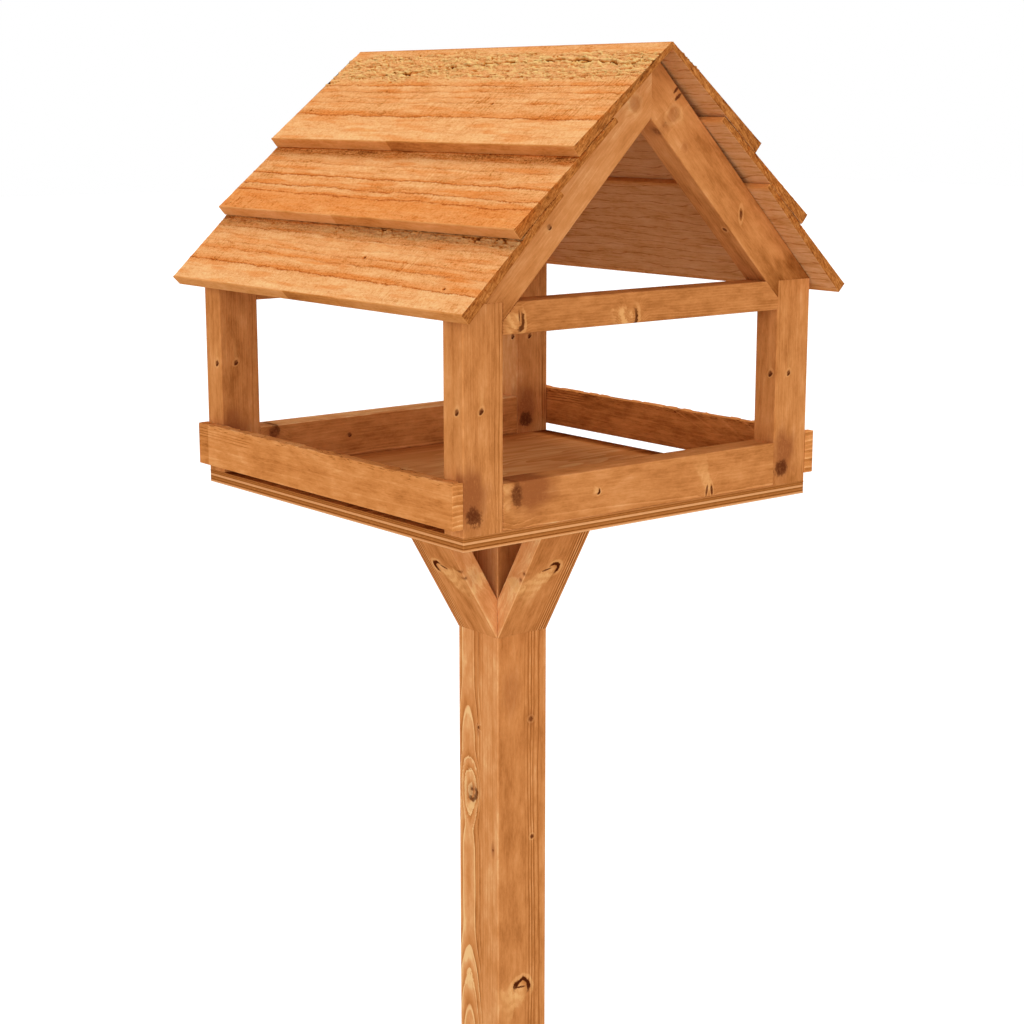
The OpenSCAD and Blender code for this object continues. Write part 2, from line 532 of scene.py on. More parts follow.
def ring_lines(f, n, gap, bold):
    """Thin jagged ring lines, and the deeper band above each. They follow the count of
    rings that comes with the mesh; gap is the width of a ring and bold its strength."""
    within = f.part(f.attribute("rings") + (n.jag * 7.0) / gap)
    edge = f.math("MINIMUM", within, 1.0 - within) * gap
    line = f.smooth(edge, 1.15, 0.25) * f.limit(bold * (0.9 + n.broken * 4.4))
    return line, f.smooth(within, 0.75, 0.0) * bold


def sky_shade(f, n, y, torn, after, lap_shade, glows):
    """How pale the face toward the sky is: paler in its glows, deeper behind each ring
    line, with painted shade just below the next board's edge, uneven where the fibre is torn."""
    tint = (
        0.615
        - after * 0.10
        + n.fibre * 0.80
        + n.grit * 1.05
        + n.hair * 0.42
        + n.saw * (0.34 + n.hatch * 0.62) * (1.0 - torn * 0.6)
        + n.patch * 0.62
        + n.blaze * 0.40
    )
    # Painted shade below the next board's edge
    tint = tint - lap_shade * 0.34
    for start, end, share in glows:
        place = y + n.fibre * 8
        inside = f.smooth(place, start - 4, start + 4) * f.smooth(place, end + 5, end - 5)
        tint = tint + inside * share
    return tint + torn * (n.shred * 1.1 - 0.05)


def edge_shade(f, n, x, depths):
    """How pale the thick edge is: depths gives its shade, the step in it where the
    board was held, and how much it darkens toward that step."""
    pale, held, scorch = depths
    scorched = f.smooth(x, 120, HELD - 1) * f.smooth(x, HELD + 2, HELD)
    shade = pale + f.smooth(x, HELD, HELD + 2) * held - scorched * scorch
    return shade + n.hair * 0.3 + n.patch * 0.4 + n.fibre * 0.3


def ember_bands(f, x, y, z, seed, after, torn, embers):
    """Where the stain glows deeper: behind the ring lines, in long patches, and in
    bands given as (from, to, share)."""
    ember = f.noise(x / 75 + seed, y / 8, z / 9, detail=3.0)
    warm = after * 0.72 + f.smooth(ember, -0.02, 0.16) * 0.62
    for start, end, share in embers:
        near, far = (y + ember * 30 - start) / 4, (end - y - ember * 30) / 4
        warm = warm + f.limit(f.math("MINIMUM", near, far)) * share
    return f.limit(warm, 0.0, 0.9) * (1.0 - torn * 0.8)


def grain_lines(f, n, x, y, z, seed):
    """Thin wavy lines of grain on the face beneath, broken here and there."""
    sag = f.noise(x / 120 + seed, y / 60, z / 60, detail=3.0, roughness=0.6)
    off = abs(f.part((y + sag * 30 + n.jag * 0.8) / GRAIN_GAP) - 0.5)
    return f.smooth(off, 0.085, 0.03) * f.limit(n.broken * 3.4 + 0.7)


def rough_board(name, origin, axes, out, seed, reveal, embers, glows, depths):
    """Band-sawn softwood. Ring lines come with the mesh, where they also stand up a
    little: each is a thin jagged rusty line with a deeper band above it. Torn fibre is
    straw coloured, with a painted highlight on its lips and painted shade in the cracks
    between the splinters. out is the side of the third axis that faces the sky, reveal
    how much of the board shows below the next one's edge (painted shade lies just below
    it), and embers and glows give (from, to, share) for deeper and paler bands. depths is
    for edge_shade."""
    f = Finish(bpy.data.materials.new(name))
    x, y, z = f.grain_space(origin, axes)
    top, torn, low, lip = (f.attribute(k) for k in ("top", "torn", "hollow", "lip"))
    grey, bold, gap, edges = (f.attribute(k) for k in ("grey", "bold", "gap", "edges"))
    n = board_patterns(f, x, y, z, seed)
    line, after = ring_lines(f, n, gap, bold)
    # Painted shade in a band just below the next board's edge, where that board overhangs it
    lap_shade = f.smooth(y + n.jag * 3 + n.patch * 12, reveal - 17, reveal - 2)

    # How pale each face is: beneath, toward the sky, the thick edge and the sawn ends
    beneath = 0.43 - after * 0.05 + n.fibre * 0.3 + n.hair * 0.45 + n.patch * 0.45 + n.blaze * 0.2
    shown = beneath + top * (sky_shade(f, n, y, torn, after, lap_shade, glows) - beneath)
    shown = shown + edges * (edge_shade(f, n, x, depths) - shown)
    above = z * out
    place = (x / 9 + seed, (y + above * 0.6) / 9, (above - y * 0.16) / 1.5)
    strokes = f.noise(*place, detail=2.0, roughness=0.6)
    sawn = f.sawn_end(axes[0])
    cut = 0.185 + strokes * 0.62 + n.grit * 0.3 + n.patch * 0.25
    shown = f.limit(shown + sawn * (cut - shown))

    # Torn fibre: paler straws and shreds of fresh fibre, a painted highlight on the lips
    # and on the ledges, and painted shadow in the dashes below the ledges
    straws = f.noise(x / 11 + seed, y / 1.4, z / 2, detail=2.0, roughness=0.6)
    straws = f.smooth(straws, 0.06, 0.20) * (0.16 + torn * 0.20)
    bright = straws + f.smooth(n.shred, 0.06, 0.14) * torn * 0.80 + lip * 0.95
    bright = f.limit(bright) * (1.0 - sawn)
    dash, ledge = (
        f.noise(x / 15 + seed, (y + off) / 1.6, z / 2, detail=2.0, roughness=0.6, distortion=0.6)
        for off in (0.0, 1.6)
    )
    dash = f.smooth(dash, 0.14, 0.24) * torn
    # Painted shade in the cracks between torn and greyed splinters
    cracks = f.smooth(n.shred, -0.12, -0.21) * f.limit(torn * 0.85 + grey * 0.7)

    upper = f.ramp(shown, BOARD)
    upper = f.deepen(ember_bands(f, x, y, z, seed, after, torn, embers) * top, upper, EMBER)
    # Straws, shreds and the lips' painted highlight, dimmed in the painted shade below the next board's
    # edge
    upper = f.blend(bright * top * (1.0 - lap_shade * 0.6), upper, STRAW)
    # Painted highlight on the ledges beside the dashes
    upper = f.blend(f.smooth(ledge, 0.14, 0.23) * torn * (1.0 - dash) * 0.6, upper, STRAW)
    lower = f.ramp(shown, shaded(BOARD, UNDERSIDE))
    colour = f.blend(f.limit(top + sawn + edges), lower, upper)
    colour = f.blend(f.limit(grey * (0.55 + n.shred * 1.4), 0.0, 0.8), colour, WEATHERED)
    colour = f.deepen(f.limit(line * top * (1.0 - edges)), colour, RULED)
    grain = grain_lines(f, n, x, y, z, seed) * (1.0 - top) * (1.0 - edges)
    colour = f.deepen(grain, colour, DIM)

    # Painted shade in the hollows, cracks, pin holes and dashes, and a painted shadow line
    # just under the next board's edge
    pin_holes = f.noise(x / 3.2 + seed, y / 2.2, z / 2.2, detail=1.0)
    pin_holes = f.smooth(pin_holes, 0.23, 0.30) * top
    seam_shadow = f.smooth(abs(y + n.jag * 3.0 - reveal + 0.6), 1.3, 0.5) * top
    dark = f.limit(low * 1.1 + cracks + pin_holes * 0.6 + seam_shadow * 0.42 + dash)
    colour = f.deepen(f.limit(dark * 2.0), colour, HALF_SHADOW)
    colour = f.deepen(f.limit(dark * 2.0 - 1.0), colour, SHADOW)

    height = n.fibre * 1.0 + n.grit * 1.0 + n.hair * 0.4 + n.saw * (0.4 + n.hatch * 0.8) - line * 0.45
    height = height + torn * (n.shred * 1.7 - cracks) - dash * 1.2
    roughness = f.limit(0.80 + n.fibre * 0.3, 0.5, 1.0)
    return f.surface(colour, roughness, height * (0.25 + top * 0.75), 0.60)


# ---------------------------------------------------------------- shapes

# Random numbers along each side of a lattice before they repeat
TABLE = 256


def lattice(u, v, seed):
    """Smooth random surface: a random number at each whole (u, v), with an S curve
    between neighbours. It runs from 0 to 1 and is worked out for whole arrays."""
    iu, iv = np.floor(u).astype(int), np.floor(v).astype(int)
    fu, fv = u - iu, v - iv
    fu, fv = fu * fu * (3 - 2 * fu), fv * fv * (3 - 2 * fv)
    table = np.random.default_rng(seed).random((TABLE, TABLE))

    def at(a, b):
        return table[a % TABLE, b % TABLE]

    low = at(iu, iv) * (1 - fu) + at(iu + 1, iv) * fu
    high = at(iu, iv + 1) * (1 - fu) + at(iu + 1, iv + 1) * fu
    return low * (1 - fv) + high * fv


def octaves(u, v, seed, count, fall, shape):
    """Lattices, each put through shape, added up and divided by their whole strength.
    Each is twice as fine as the last and fall times as strong."""
    total, strength, weight = 0.0, 1.0, 0.0
    for k in range(count):
        total = total + strength * shape(lattice(u * 2**k, v * 2**k, seed + k))
        weight += strength
        strength *= fall
    return total / weight


def rough(u, v, seed, count=3, fall=0.5):
    """Octaves of a lattice about 0."""
    return octaves(u, v, seed, count, fall, lambda height: height - 0.5)


def ridged(u, v, seed, count=3, fall=0.55):
    """Sharp crests: 1 less twice the distance from the middle of each lattice octave."""
    return octaves(u, v, seed, count, fall, lambda height: 1 - np.abs(2 * height - 1))


def step(value, start, end):
    """0 before start, 1 after end, an S curve between."""
    t = np.clip((value - start) / (end - start), 0, 1)
    return t * t * (3 - 2 * t)


def outline_of(node, axis):
    """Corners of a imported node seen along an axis, in order round it with the inside on
    the left, and its two ends on that axis. An end's boundary is the edges that only
    one of its triangles has; corners in a straight run are left out."""
    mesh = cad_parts[node].data
    place = np.empty(len(mesh.vertices) * 3)
    mesh.vertices.foreach_get("co", place)
    place = np.round(place.reshape(-1, 3) * METRE, 3)
    mesh.calc_loop_triangles()
    faces = np.empty(len(mesh.loop_triangles) * 3, int)
    mesh.loop_triangles.foreach_get("vertices", faces)
    faces = faces.reshape(-1, 3)
    low, high = place[:, axis].min(), place[:, axis].max()
    points, number = np.unique(place, axis=0, return_inverse=True)
    faces = number.ravel()[faces]
    end = faces[np.all(points[faces, axis] > high - 0.01, axis=1)]
    sides = np.concatenate([end[:, [0, 1]], end[:, [1, 2]], end[:, [2, 0]]])
    key = np.sort(sides, axis=1)
    _, first, times = np.unique(key, axis=0, return_index=True, return_counts=True)
    border = sides[first[times == 1]]
    after = dict(border.tolist())
    walk = [int(border[0, 0])]
    while after[walk[-1]] != walk[0]:
        walk.append(after[walk[-1]])
    flat = points[walk][:, [(axis + 1) % 3, (axis + 2) % 3]]
    back, ahead = flat - np.roll(flat, 1, 0), np.roll(flat, -1, 0) - flat
    bend = back[:, 0] * ahead[:, 1] - back[:, 1] * ahead[:, 0]
    size = np.linalg.norm(back, axis=1) * np.linalg.norm(ahead, axis=1)
    return flat[np.abs(bend) > 0.002 * size], low, high


def rounded_outline(corners, drawn, radius, between):
    """An outline whose sides are each drawn in by their own length, with an arc of the
    given radius at each corner. Two drawn-in sides meet where both distances hold. An
    arc's middle lies inside a convex corner and outside a hollow one, at
    radius / (1 + cosine of the turn) along the sum of the two normals. between holds
    the shares at which points are put along each side."""
    ahead = np.roll(corners, -1, 0) - corners
    ahead = ahead / np.linalg.norm(ahead, axis=1, keepdims=True)
    after = np.stack([ahead[:, 1], -ahead[:, 0]], 1)
    before = np.roll(after, 1, 0)
    hollow = before[:, 0] * after[:, 1] - before[:, 1] * after[:, 0] < 0
    sign = np.where(hollow, -1.0, 1.0)[:, None]
    both = np.stack([before, after], 1)
    moved = np.stack([np.roll(drawn, 1), drawn], 1)[:, :, None]
    meet = corners - np.linalg.solve(both, moved)[:, :, 0]
    cosine = np.sum(before * after, 1, keepdims=True)
    middle = meet - sign * radius[:, None] * (before + after) / (1 + cosine)
    share = np.linspace(0, 1, ARC)[None, :, None]
    normal = before[:, None] * (1 - share) + after[:, None] * share
    normal = normal / np.linalg.norm(normal, axis=2, keepdims=True)
    arc = middle[:, None] + (sign * radius[:, None])[:, None] * normal
    points, normals = [], []
    for k, shares in enumerate(between):
        start, end = arc[k, -1], arc[(k + 1) % len(corners), 0]
        points += [arc[k], start + shares[:, None] * (end - start)]
        normals += [normal[k], np.repeat(after[k][None], len(shares), 0)]
    return np.concatenate(points), np.concatenate(normals)


# Points round each arris, and the radii of arrises that were planed and only sawn
ARC = 4
PLANED, SAWN = 1.5, 0.45


def arrises(corners, axis, grain, long_arris, end_arris):
    """Each side's length, the radius along its ends and the radius at its corner. What
    runs with the grain is eased by planing; what a saw cut is nearly sharp."""
    ahead = np.roll(corners, -1, 0) - corners
    length = np.linalg.norm(ahead, axis=1)
    if abs(grain[axis]) > 0.9:
        return length, np.full(len(corners), end_arris), np.full(len(corners), long_arris)
    lies = np.abs(ahead @ grain[[(axis + 1) % 3, (axis + 2) % 3]]) / length > 0.9
    return length, np.where(lies, long_arris, end_arris), np.full(len(corners), end_arris)


def rows_between(inner, draws):
    """Rows of points from one end to the other. Each has how far its arris draws it in,
    how far its profile does, its distance from its end in arris radii, its share of the
    thickness, and the two parts of its normal, square to the sides and along."""
    turn = np.linspace(0, math.pi / 2, ARC)
    rows = [(1 - math.sin(t), 0.0, 1 - math.cos(t), 0.0, math.sin(t), -math.cos(t)) for t in turn]
    rows += [(0.0, draw, 1 - 2 * s, s, 1.0, 0.0) for s, draw in zip(inner, draws)]
    for t in turn[::-1]:
        rows.append((1 - math.sin(t), 0.0, math.cos(t) - 1, 1.0, math.sin(t), math.cos(t)))
    return rows


def carried(name, node, axis, grain, long_arris=PLANED, end_arris=SAWN, spacing=np.inf,
            stations=2, relief=None, profile=None, sharp=None):
    """A solid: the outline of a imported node, rounded, carried along an axis from one end
    to the other. Towards each end the outline is drawn in by a(1 - sin t) while it moves
    a(1 - cos t) from the end, which rounds the arris. relief moves points along their
    normals, and profile draws the whole outline in at shares of the thickness."""
    corners, low, high = outline_of(node, axis)
    length, arris, radius = arrises(corners, axis, np.array(grain, float), long_arris, end_arris)
    pieces = np.maximum(np.round(length / spacing), 1).astype(int)
    between = [np.arange(1, n) / n for n in pieces]
    share, bow = np.linspace(0, 1, ARC), np.sin(np.linspace(0, math.pi, ARC))
    edge_of, on_arc, eased = [], [], []
    for k, shares in enumerate(between):
        edge_of += [np.full(ARC, -1 - k), np.full(len(shares), k)]
        on_arc += [bow, np.zeros(len(shares))]
        eased += [arris[k - 1] * (1 - share) + arris[k] * share, np.full(len(shares), arris[k])]
    edge_of, on_arc, eased = (np.concatenate(each) for each in (edge_of, on_arc, eased))
    if profile is None:
        inner = np.arange(1, stations - 1) / (stations - 1)
        profile = inner, np.zeros(len(inner))

    place, normals, arris_highlight = [], [], []
    for draw, extra, off, s, side, endwise in rows_between(*profile):
        flat, flat_normal = rounded_outline(
            corners, arris * draw + extra, radius * (1 - 0.7 * draw), between
        )
        at = low + s * (high - low) + eased * off
        place.append(np.column_stack([at, flat]))
        normals.append(np.column_stack([np.full(len(at), endwise), flat_normal * side]))
        # How far each point lies on an arris, the mask of the painted highlight along it
        arris_highlight.append(np.maximum(math.sin(2 * math.asin(min(side, 1.0))), on_arc * side))
    place, normals = np.array(place), np.array(normals)
    attributes = {"arris": np.array(arris_highlight)}
    if relief is not None:
        lift, more = relief(place, edge_of, corners)
        place = place + normals * lift[:, :, None]
        attributes.update(more)

    order = np.argsort([axis, (axis + 1) % 3, (axis + 2) % 3])
    mesh = solid_mesh(name, place, order)
    for key, values in attributes.items():
        values = np.ascontiguousarray(values, np.float32).ravel()
        mesh.attributes.new(key, "FLOAT", "POINT").data.foreach_set("value", values)
    if sharp is None:
        mesh.normals_split_custom_set_from_vertices(normals.reshape(-1, 3)[:, order])
    else:
        mesh.set_sharp_from_angle(angle=math.radians(sharp))
    piece = bpy.data.objects.new(name, mesh)
    bpy.context.scene.collection.objects.link(piece)
    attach(piece, "root")
    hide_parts(node)
    return piece


# The gap between the parts of a piece's map and the margin round them, as shares
MAP_GAP, MAP_MARGIN = 0.02, 0.01


def unrolled(place, j, i):
    """A map of a solid's faces: its sides unrolled by the length round them and along,
    and both ends laid beside them, all within a square with a margin."""
    ring = place[len(place) // 2]
    around = np.r_[0.0, np.cumsum(np.linalg.norm(np.roll(ring, -1, 0) - ring, axis=1))]
    along = np.cumsum(np.r_[0.0, np.abs(np.diff(place.mean(1)[:, 0]))])
    flat = place[0][:, 1:] - place[0][:, 1:].min(0)
    if np.ptp(flat[:, 1]) > np.ptp(flat[:, 0]):
        flat = flat[:, ::-1]
    tall, gap = np.ptp(flat[:, 1]), MAP_GAP * around[-1]
    across = around[np.stack([i, i + 1, i + 1, i], -1)]
    sides = np.stack([across, along[np.stack([j, j, j + 1, j + 1], -1)]], -1)
    one = flat[::-1] + [0, along[-1] + gap]
    two = flat + [0, along[-1] + 2 * gap + tall]
    places = np.concatenate([sides.reshape(-1, 2), one, two])
    return MAP_MARGIN + (1 - 2 * MAP_MARGIN) * places / places.max(0)


def solid_mesh(name, place, order):
    """Closes a grid of rows round a solid: quads between neighbouring rows and points,
    and one face over each end."""
    rows, points = place.shape[:2]
    j, i = np.meshgrid(np.arange(rows - 1), np.arange(points), indexing="ij")
    k = (i + 1) % points
    quads = np.stack([j * points + i, j * points + k, (j + 1) * points + k, (j + 1) * points + i], -1)
    first = np.arange(points)[::-1]
    last = (rows - 1) * points + np.arange(points)
    corners = np.concatenate([quads.ravel(), first, last]).astype(np.int32)
    count = (rows - 1) * points
    starts = np.r_[np.arange(count) * 4, count * 4, count * 4 + points].astype(np.int32)
    totals = np.r_[np.full(count, 4), points, points].astype(np.int32)
    mesh = bpy.data.meshes.new(name)
    mesh.vertices.add(rows * points)
    mesh.vertices.foreach_set("co", (place.reshape(-1, 3)[:, order] / METRE).ravel())
    mesh.loops.add(len(corners))
    mesh.loops.foreach_set("vertex_index", corners)
    mesh.polygons.add(len(starts))
    mesh.polygons.foreach_set("loop_start", starts)
    mesh.polygons.foreach_set("loop_total", totals)
    mesh.polygons.foreach_set("use_smooth", np.ones(len(starts), bool))
    places = unrolled(place, j, i).astype(np.float32)
    mesh.uv_layers.new(name="OFBake").data.foreach_set("uv", places.ravel())
    mesh.update(calc_edges=True)
    mesh.validate()
    return mesh


# ---------------------------------------------------------------- roof boards


# The least and the most that a board's surface may be moved
LIFT = (-3.0, 1.5)
WIDE_FACE = 60.0


def splinters(along, across, long, tall, seed):
    """Thin wavy cracks along a board, and the lip of fibre on the lower side of each:
    both are the middle lines of a lattice drawn out along the grain."""
    sway = across + 2.2 * rough(along / 12, across / 7, seed, 2)
    crest = ridged(along / long, sway / tall, seed + 1, 2, 0.5)
    beside = ridged(along / long, (sway + 1.5) / tall, seed + 1, 2, 0.5)
    cut = step(crest, 0.70, 0.90)
    return cut, step(beside, 0.64, 0.84) * (1 - cut)


def faces_of(corners, edge_of, along):
    """Masks of a roof board's upper face, its lower face and its edges. The upper face
    is the wide one whose corners lie farthest out and up."""
    reach = corners[:, 0] + np.abs(corners[:, 1])
    sides = np.linalg.norm(np.roll(corners, -1, 0) - corners, axis=1)
    wide = [k for k in range(len(corners)) if sides[k] > WIDE_FACE]
    upper, lower = sorted(wide, key=lambda k: -(reach[k] + reach[(k + 1) % len(corners)]))
    top, under = ((edge_of == k)[None, :] * np.ones_like(along) for k in (upper, lower))
    return top, under, 1.0 - np.clip(top + under, 0, 1)


def ring_lips(along, across, seed, lines, slope):
    """How far the surface stands up along its ring lines, and the lines' own values.
    lines gives (distance from the thick edge, strength) of each; they drift by slope
    along the board and wander."""
    drift = across + slope * along
    drift = drift + 5.0 * rough(along / 150, across / 60, seed, 2)
    drift = drift + 4.6 * rough(along / 38, across / 22, seed + 5, 3)
    drift = drift + 1.6 * rough(along / 11, across / 9, seed + 7, 2)
    at, strength = np.array(lines, float).T
    last = len(at) - 1
    rings = np.interp(drift, at, np.arange(len(at)))
    gap = np.diff(at)[np.clip(np.floor(rings), 0, last - 1).astype(int)]
    bold = strength[np.clip(np.rint(rings), 0, last).astype(int)]
    within = rings - np.floor(rings)
    away = np.minimum(within, 1 - within) * gap
    broken = step(rough(along / 9, across / 9, seed + 12, 2), -0.25, 0.05)
    lift = -0.30 + 0.34 * bold * step(away, 1.9, 0.2) * broken
    lift = lift + 0.34 * rough(along / 5, across / 1.8, seed + 20, 2)
    lift = lift + 0.36 * rough(along / 45, across / 7, seed + 30, 2)
    return lift, {"rings": rings, "gap": gap, "bold": bold * np.ones_like(along)}


def torn_fibre(along, across, seed, band):
    """Fibre raised in long splinters, with lips and cracks between, and masks for a painted
    highlight on the lips and painted shade in the cracks. band is (from, to, strength);
    its limits are ragged."""
    start, end, strength = band
    ragged = across + 12 * rough(along / 26, across / 8, seed + 41, 3)
    torn = step(ragged, start - 6, start + 8) * step(ragged, end + 3, end - 6)
    torn = torn * (0.45 + 0.55 * step(ridged(along / 34, across / 9, seed + 43, 2), 0.3, 0.65)) * strength
    flake = rough(along / 16 - 0.06 * across, across / 4.0, seed + 46, 3, 0.6)
    cut, lip = splinters(along, across, 10, 2.8, seed + 44)
    raised = torn * (2.1 * flake + 0.8 * lip - 1.2 * cut + 0.25)
    low = 0.75 * torn * cut * step(rough(along / 9, across / 3, seed + 63, 2), 0.04, 0.16)
    return raised, torn, low, torn * lip


def long_split(along, across, seed, split):
    """A split through (place along the board, distance up it), which wanders, opens and
    closes, and the raised ledges on both sides of it."""
    places, distances = np.array(split, float).T
    line = np.interp(along, places, distances) + 9 * rough(along / 34, along * 0, seed + 48, 4, 0.6)
    line = line + 3.4 * rough(along / 5, across / 7, seed + 61, 2)
    open_here = step(rough(along / 9, along * 0, seed + 49, 3), -0.24, -0.02)
    wide = 0.6 + 1.2 * step(rough(along / 13, along * 0, seed + 62, 2), 0.0, 0.3)
    depth = step(np.abs(across - line), wide * 1.5, wide * 0.5) * open_here
    ledge = step(np.abs(across - line + wide + 1.4), 2.1, 0.7) * open_here
    ledge = np.maximum(ledge, 0.8 * step(np.abs(across - line - wide - 1.7), 2.2, 0.7) * open_here)
    return depth, ledge * step(rough(along / 5, across / 2, seed + 64, 2), -0.2, 0.05)


def weathered_fibre(along, across, seed, band):
    """A greyed band of short splinters, stronger toward the front of the roof, with masks
    for painted shade in its cracks and a painted highlight on its lips. band is (from,
    to, strength)."""
    start, end, strength = band
    ragged = across + 9 * rough(along / 20, across / 5, seed + 50, 3)
    grey = step(ragged, start, start + 6) * step(ragged, end + 6, end) * strength
    grey = grey * (0.45 + 0.55 * step(along, 150, -120))
    cut, lip = splinters(along, across, 13, 3.4, seed + 52)
    raised = grey * (1.8 * rough(along / 9, across / 3, seed + 54, 2) + 0.7 * lip - 1.3 * cut)
    low = 0.8 * grey * cut * step(rough(along / 8, across / 3, seed + 65, 2), -0.16, 0.1)
    return raised, grey, low, 0.35 * grey * lip


def board_relief(seed, lines, reveal, slope=0.0, split=None, torn_band=None, grey_band=None, pits=()):
    """Surface of a rough-sawn board: ring lines that stand up as small lips, torn and
    weathered bands, a split and pits, each (place, distance, size). reveal is how far
    up the board the next one's edge lies; a board that none covers is whole at its top."""

    def relief(place, edge_of, corners):
        along = place[:, :, 0]
        thick_end = corners[np.argmax(np.abs(corners[:, 1]))]
        up = corners[np.argmax(corners[:, 0])] - thick_end
        width = np.linalg.norm(up)
        across = (place[:, :, 1:] - thick_end) @ (up / width)
        top, under, edges = faces_of(corners, edge_of, along)
        lift, rings = ring_lips(along, across, seed, lines, slope)
        # low gathers painted shade for the hollows, cracks, split and pits, and bright a painted
        # highlight for the lips and ledges
        torn, low, bright, grey = (np.zeros_like(along) for _ in range(4))
        if torn_band is not None:
            raised, torn, low, bright = torn_fibre(along, across, seed, torn_band)
            lift = lift + raised
        if split is not None:
            depth, ledge = long_split(along, across, seed, split)
            lift = lift - 2.4 * depth + 1.1 * ledge
            low = np.maximum(low, depth)
            bright = np.maximum(bright, ledge) * (1 - depth)
            torn = np.maximum(torn, 0.8 * ledge)
        if grey_band is not None:
            raised, grey, hollow, lips = weathered_fibre(along, across, seed, grey_band)
            lift = lift + raised
            low = np.maximum(low, hollow)
            bright = np.maximum(bright, lips)
            torn = np.maximum(torn, grey * 0.35)
        for where, distance, size in pits:
            far = np.hypot((along - where) / (size * 1.5), (across - distance) / size)
            hole = step(far + 0.5 * rough(along / 2, across / 2, seed + 60, 1), 1.1, 0.4)
            lift = lift - 1.2 * hole
            low = np.maximum(low, hole)
        lift = lift + 0.30 * step(across, reveal - 7, reveal - 1)
        lift = np.clip(lift, *LIFT) * top
        if reveal > width:
            lift = lift * step(width - across, 0.0, 4.0)
        lift = lift + (-0.2 + 0.18 * rough(along / 14, across / 3, seed + 70, 2)) * under
        lift = lift + edges * 0.12 * rough(along / 9, across / 3, seed + 80, 2)
        # hollow carries that painted shade to the material, and lip that painted highlight
        marks = {"torn": torn * top, "hollow": low * top, "grey": grey * top, "lip": bright * top}
        return lift, {"top": top, "edges": edges, **rings, **marks}

    return relief


def board_axes(node):
    """A roof board's own axes: along the grain, up the slope under it, and square to
    both, with the start at the lowest corner and the side that faces the sky."""
    corners, low, _ = outline_of(node, 1)
    foot = corners[np.argmin(corners[:, 0])]
    side = math.copysign(1.0, corners[np.argmax(np.abs(corners[:, 1])), 1])
    outer = corners[np.argmax(np.abs(corners[:, 1]))]
    inner = [c for c in corners if not np.allclose(c, foot) and not np.allclose(c, outer)]
    inner = min(inner, key=lambda c: c[0])
    up = (inner - foot) / np.linalg.norm(inner - foot)
    up = (up[1], 0.0, up[0])
    square = tuple(np.cross(Y, up))
    return (foot[1], low, foot[0]), (Y, up, square), side


# For each row: its thick edge, as edge_shade wants it, and how much of it is uncovered.
# The upper row is wholly uncovered, so its reveal lies past the ridge
EDGES = {"upper": (0.33, 0.02, 0.12), "middle": (0.42, 0.03, 0.14), "lower": (0.37, 0.04, 0.14)}
REVEAL = {"upper": 400.0, "middle": 96.0, "lower": 89.0}
# Distance between points across the upper face, the edges and the face beneath
SKY_GAP, EDGE_GAP, UNDER_GAP = 1.3, 2.0, 6.0


def roof_board(side, row, seed, embers=(), glows=(), **wants):
    """A board's faces are drawn finely where the sky sees them and coarsely beneath."""
    node = f"roof_board_{side}_{row}"
    corners, _, _ = outline_of(node, 1)
    after = np.roll(corners, -1, 0)
    wide = np.linalg.norm(after - corners, axis=1) > WIDE_FACE
    reach = (corners + after)[:, 0] + np.abs(corners + after)[:, 1]
    gaps = np.where(reach == reach[wide].max(), SKY_GAP, UNDER_GAP)
    piece = carried(
        f"{side}_{row}_board", node, 1, Y, long_arris=0.8, end_arris=0.5,
        spacing=np.where(wide, gaps, EDGE_GAP), stations=360,
        relief=board_relief(seed, reveal=REVEAL[row], **wants), sharp=38,
    )
    origin, axes, out = board_axes(node)
    piece.data.materials.append(
        rough_board(f"rough_{side}_{row}", origin, axes, out, seed * 1.7, REVEAL[row], embers,
                    glows, EDGES[row])
    )


roof_board("left", "upper", seed=11, slope=-0.010,
           lines=[(-8, 0), (14, 0.12), (39, 1.0), (60, 0.35), (68, 0.3), (77, 0.45), (87, 0.7),
                  (101, 0.5), (118, 0.4), (134, 0.3), (150, 0.3), (164, 0)],
           torn_band=(95, 141, 1.0),
           split=[(-247, 118), (-150, 124), (-20, 122), (90, 112), (247, 96)],
           glows=[(-6, 34, 0.12)], pits=[(-73, 60, 2.0)])
roof_board("left", "middle", seed=23, slope=-0.012,
           lines=[(-6, 0), (11, 0.0), (27, 0.85), (37.5, 0.9), (54, 1.0), (63, 0.2), (73, 0.45),
                  (86, 0.3), (100, 0.2), (120, 0.3), (150, 0)],
           embers=[(-4, 31, 0.75), (48, 55, 0.3)])
roof_board("left", "lower", seed=37, slope=-0.012,
           lines=[(-8, 0), (8, 0.08), (26, 1.0), (43, 0.5), (52, 0.4), (62, 0.3), (74, 0.5),
                  (84, 0.4), (97, 0.3), (120, 0.2), (150, 0)],
           glows=[(-6, 24, 0.14)], embers=[(38, 52, 0.35)],
           grey_band=(77, 92, 1.0), pits=[(-47, 53, 1.8), (-196, 27, 1.6)])
roof_board("right", "upper", seed=51, slope=0.010,
           lines=[(-4, 0), (17, 0.6), (30, 0.2), (44, 0.8), (58, 0.3), (70, 0.5), (83, 0.7),
                  (98, 0.4), (112, 0.5), (128, 0.3), (140, 0.3), (160, 0)],
           torn_band=(98, 136, 0.9), split=[(-247, 110), (0, 121), (247, 114)])
roof_board("right", "middle", seed=67, slope=-0.010,
           lines=[(-6, 0), (9, 0.3), (24, 0.9), (37, 0.3), (50, 0.6), (60, 0.4), (71, 0.7),
                  (86, 0.4), (99, 0.3), (120, 0.2), (150, 0)],
           embers=[(2, 22, 0.5), (40, 58, 0.4)])
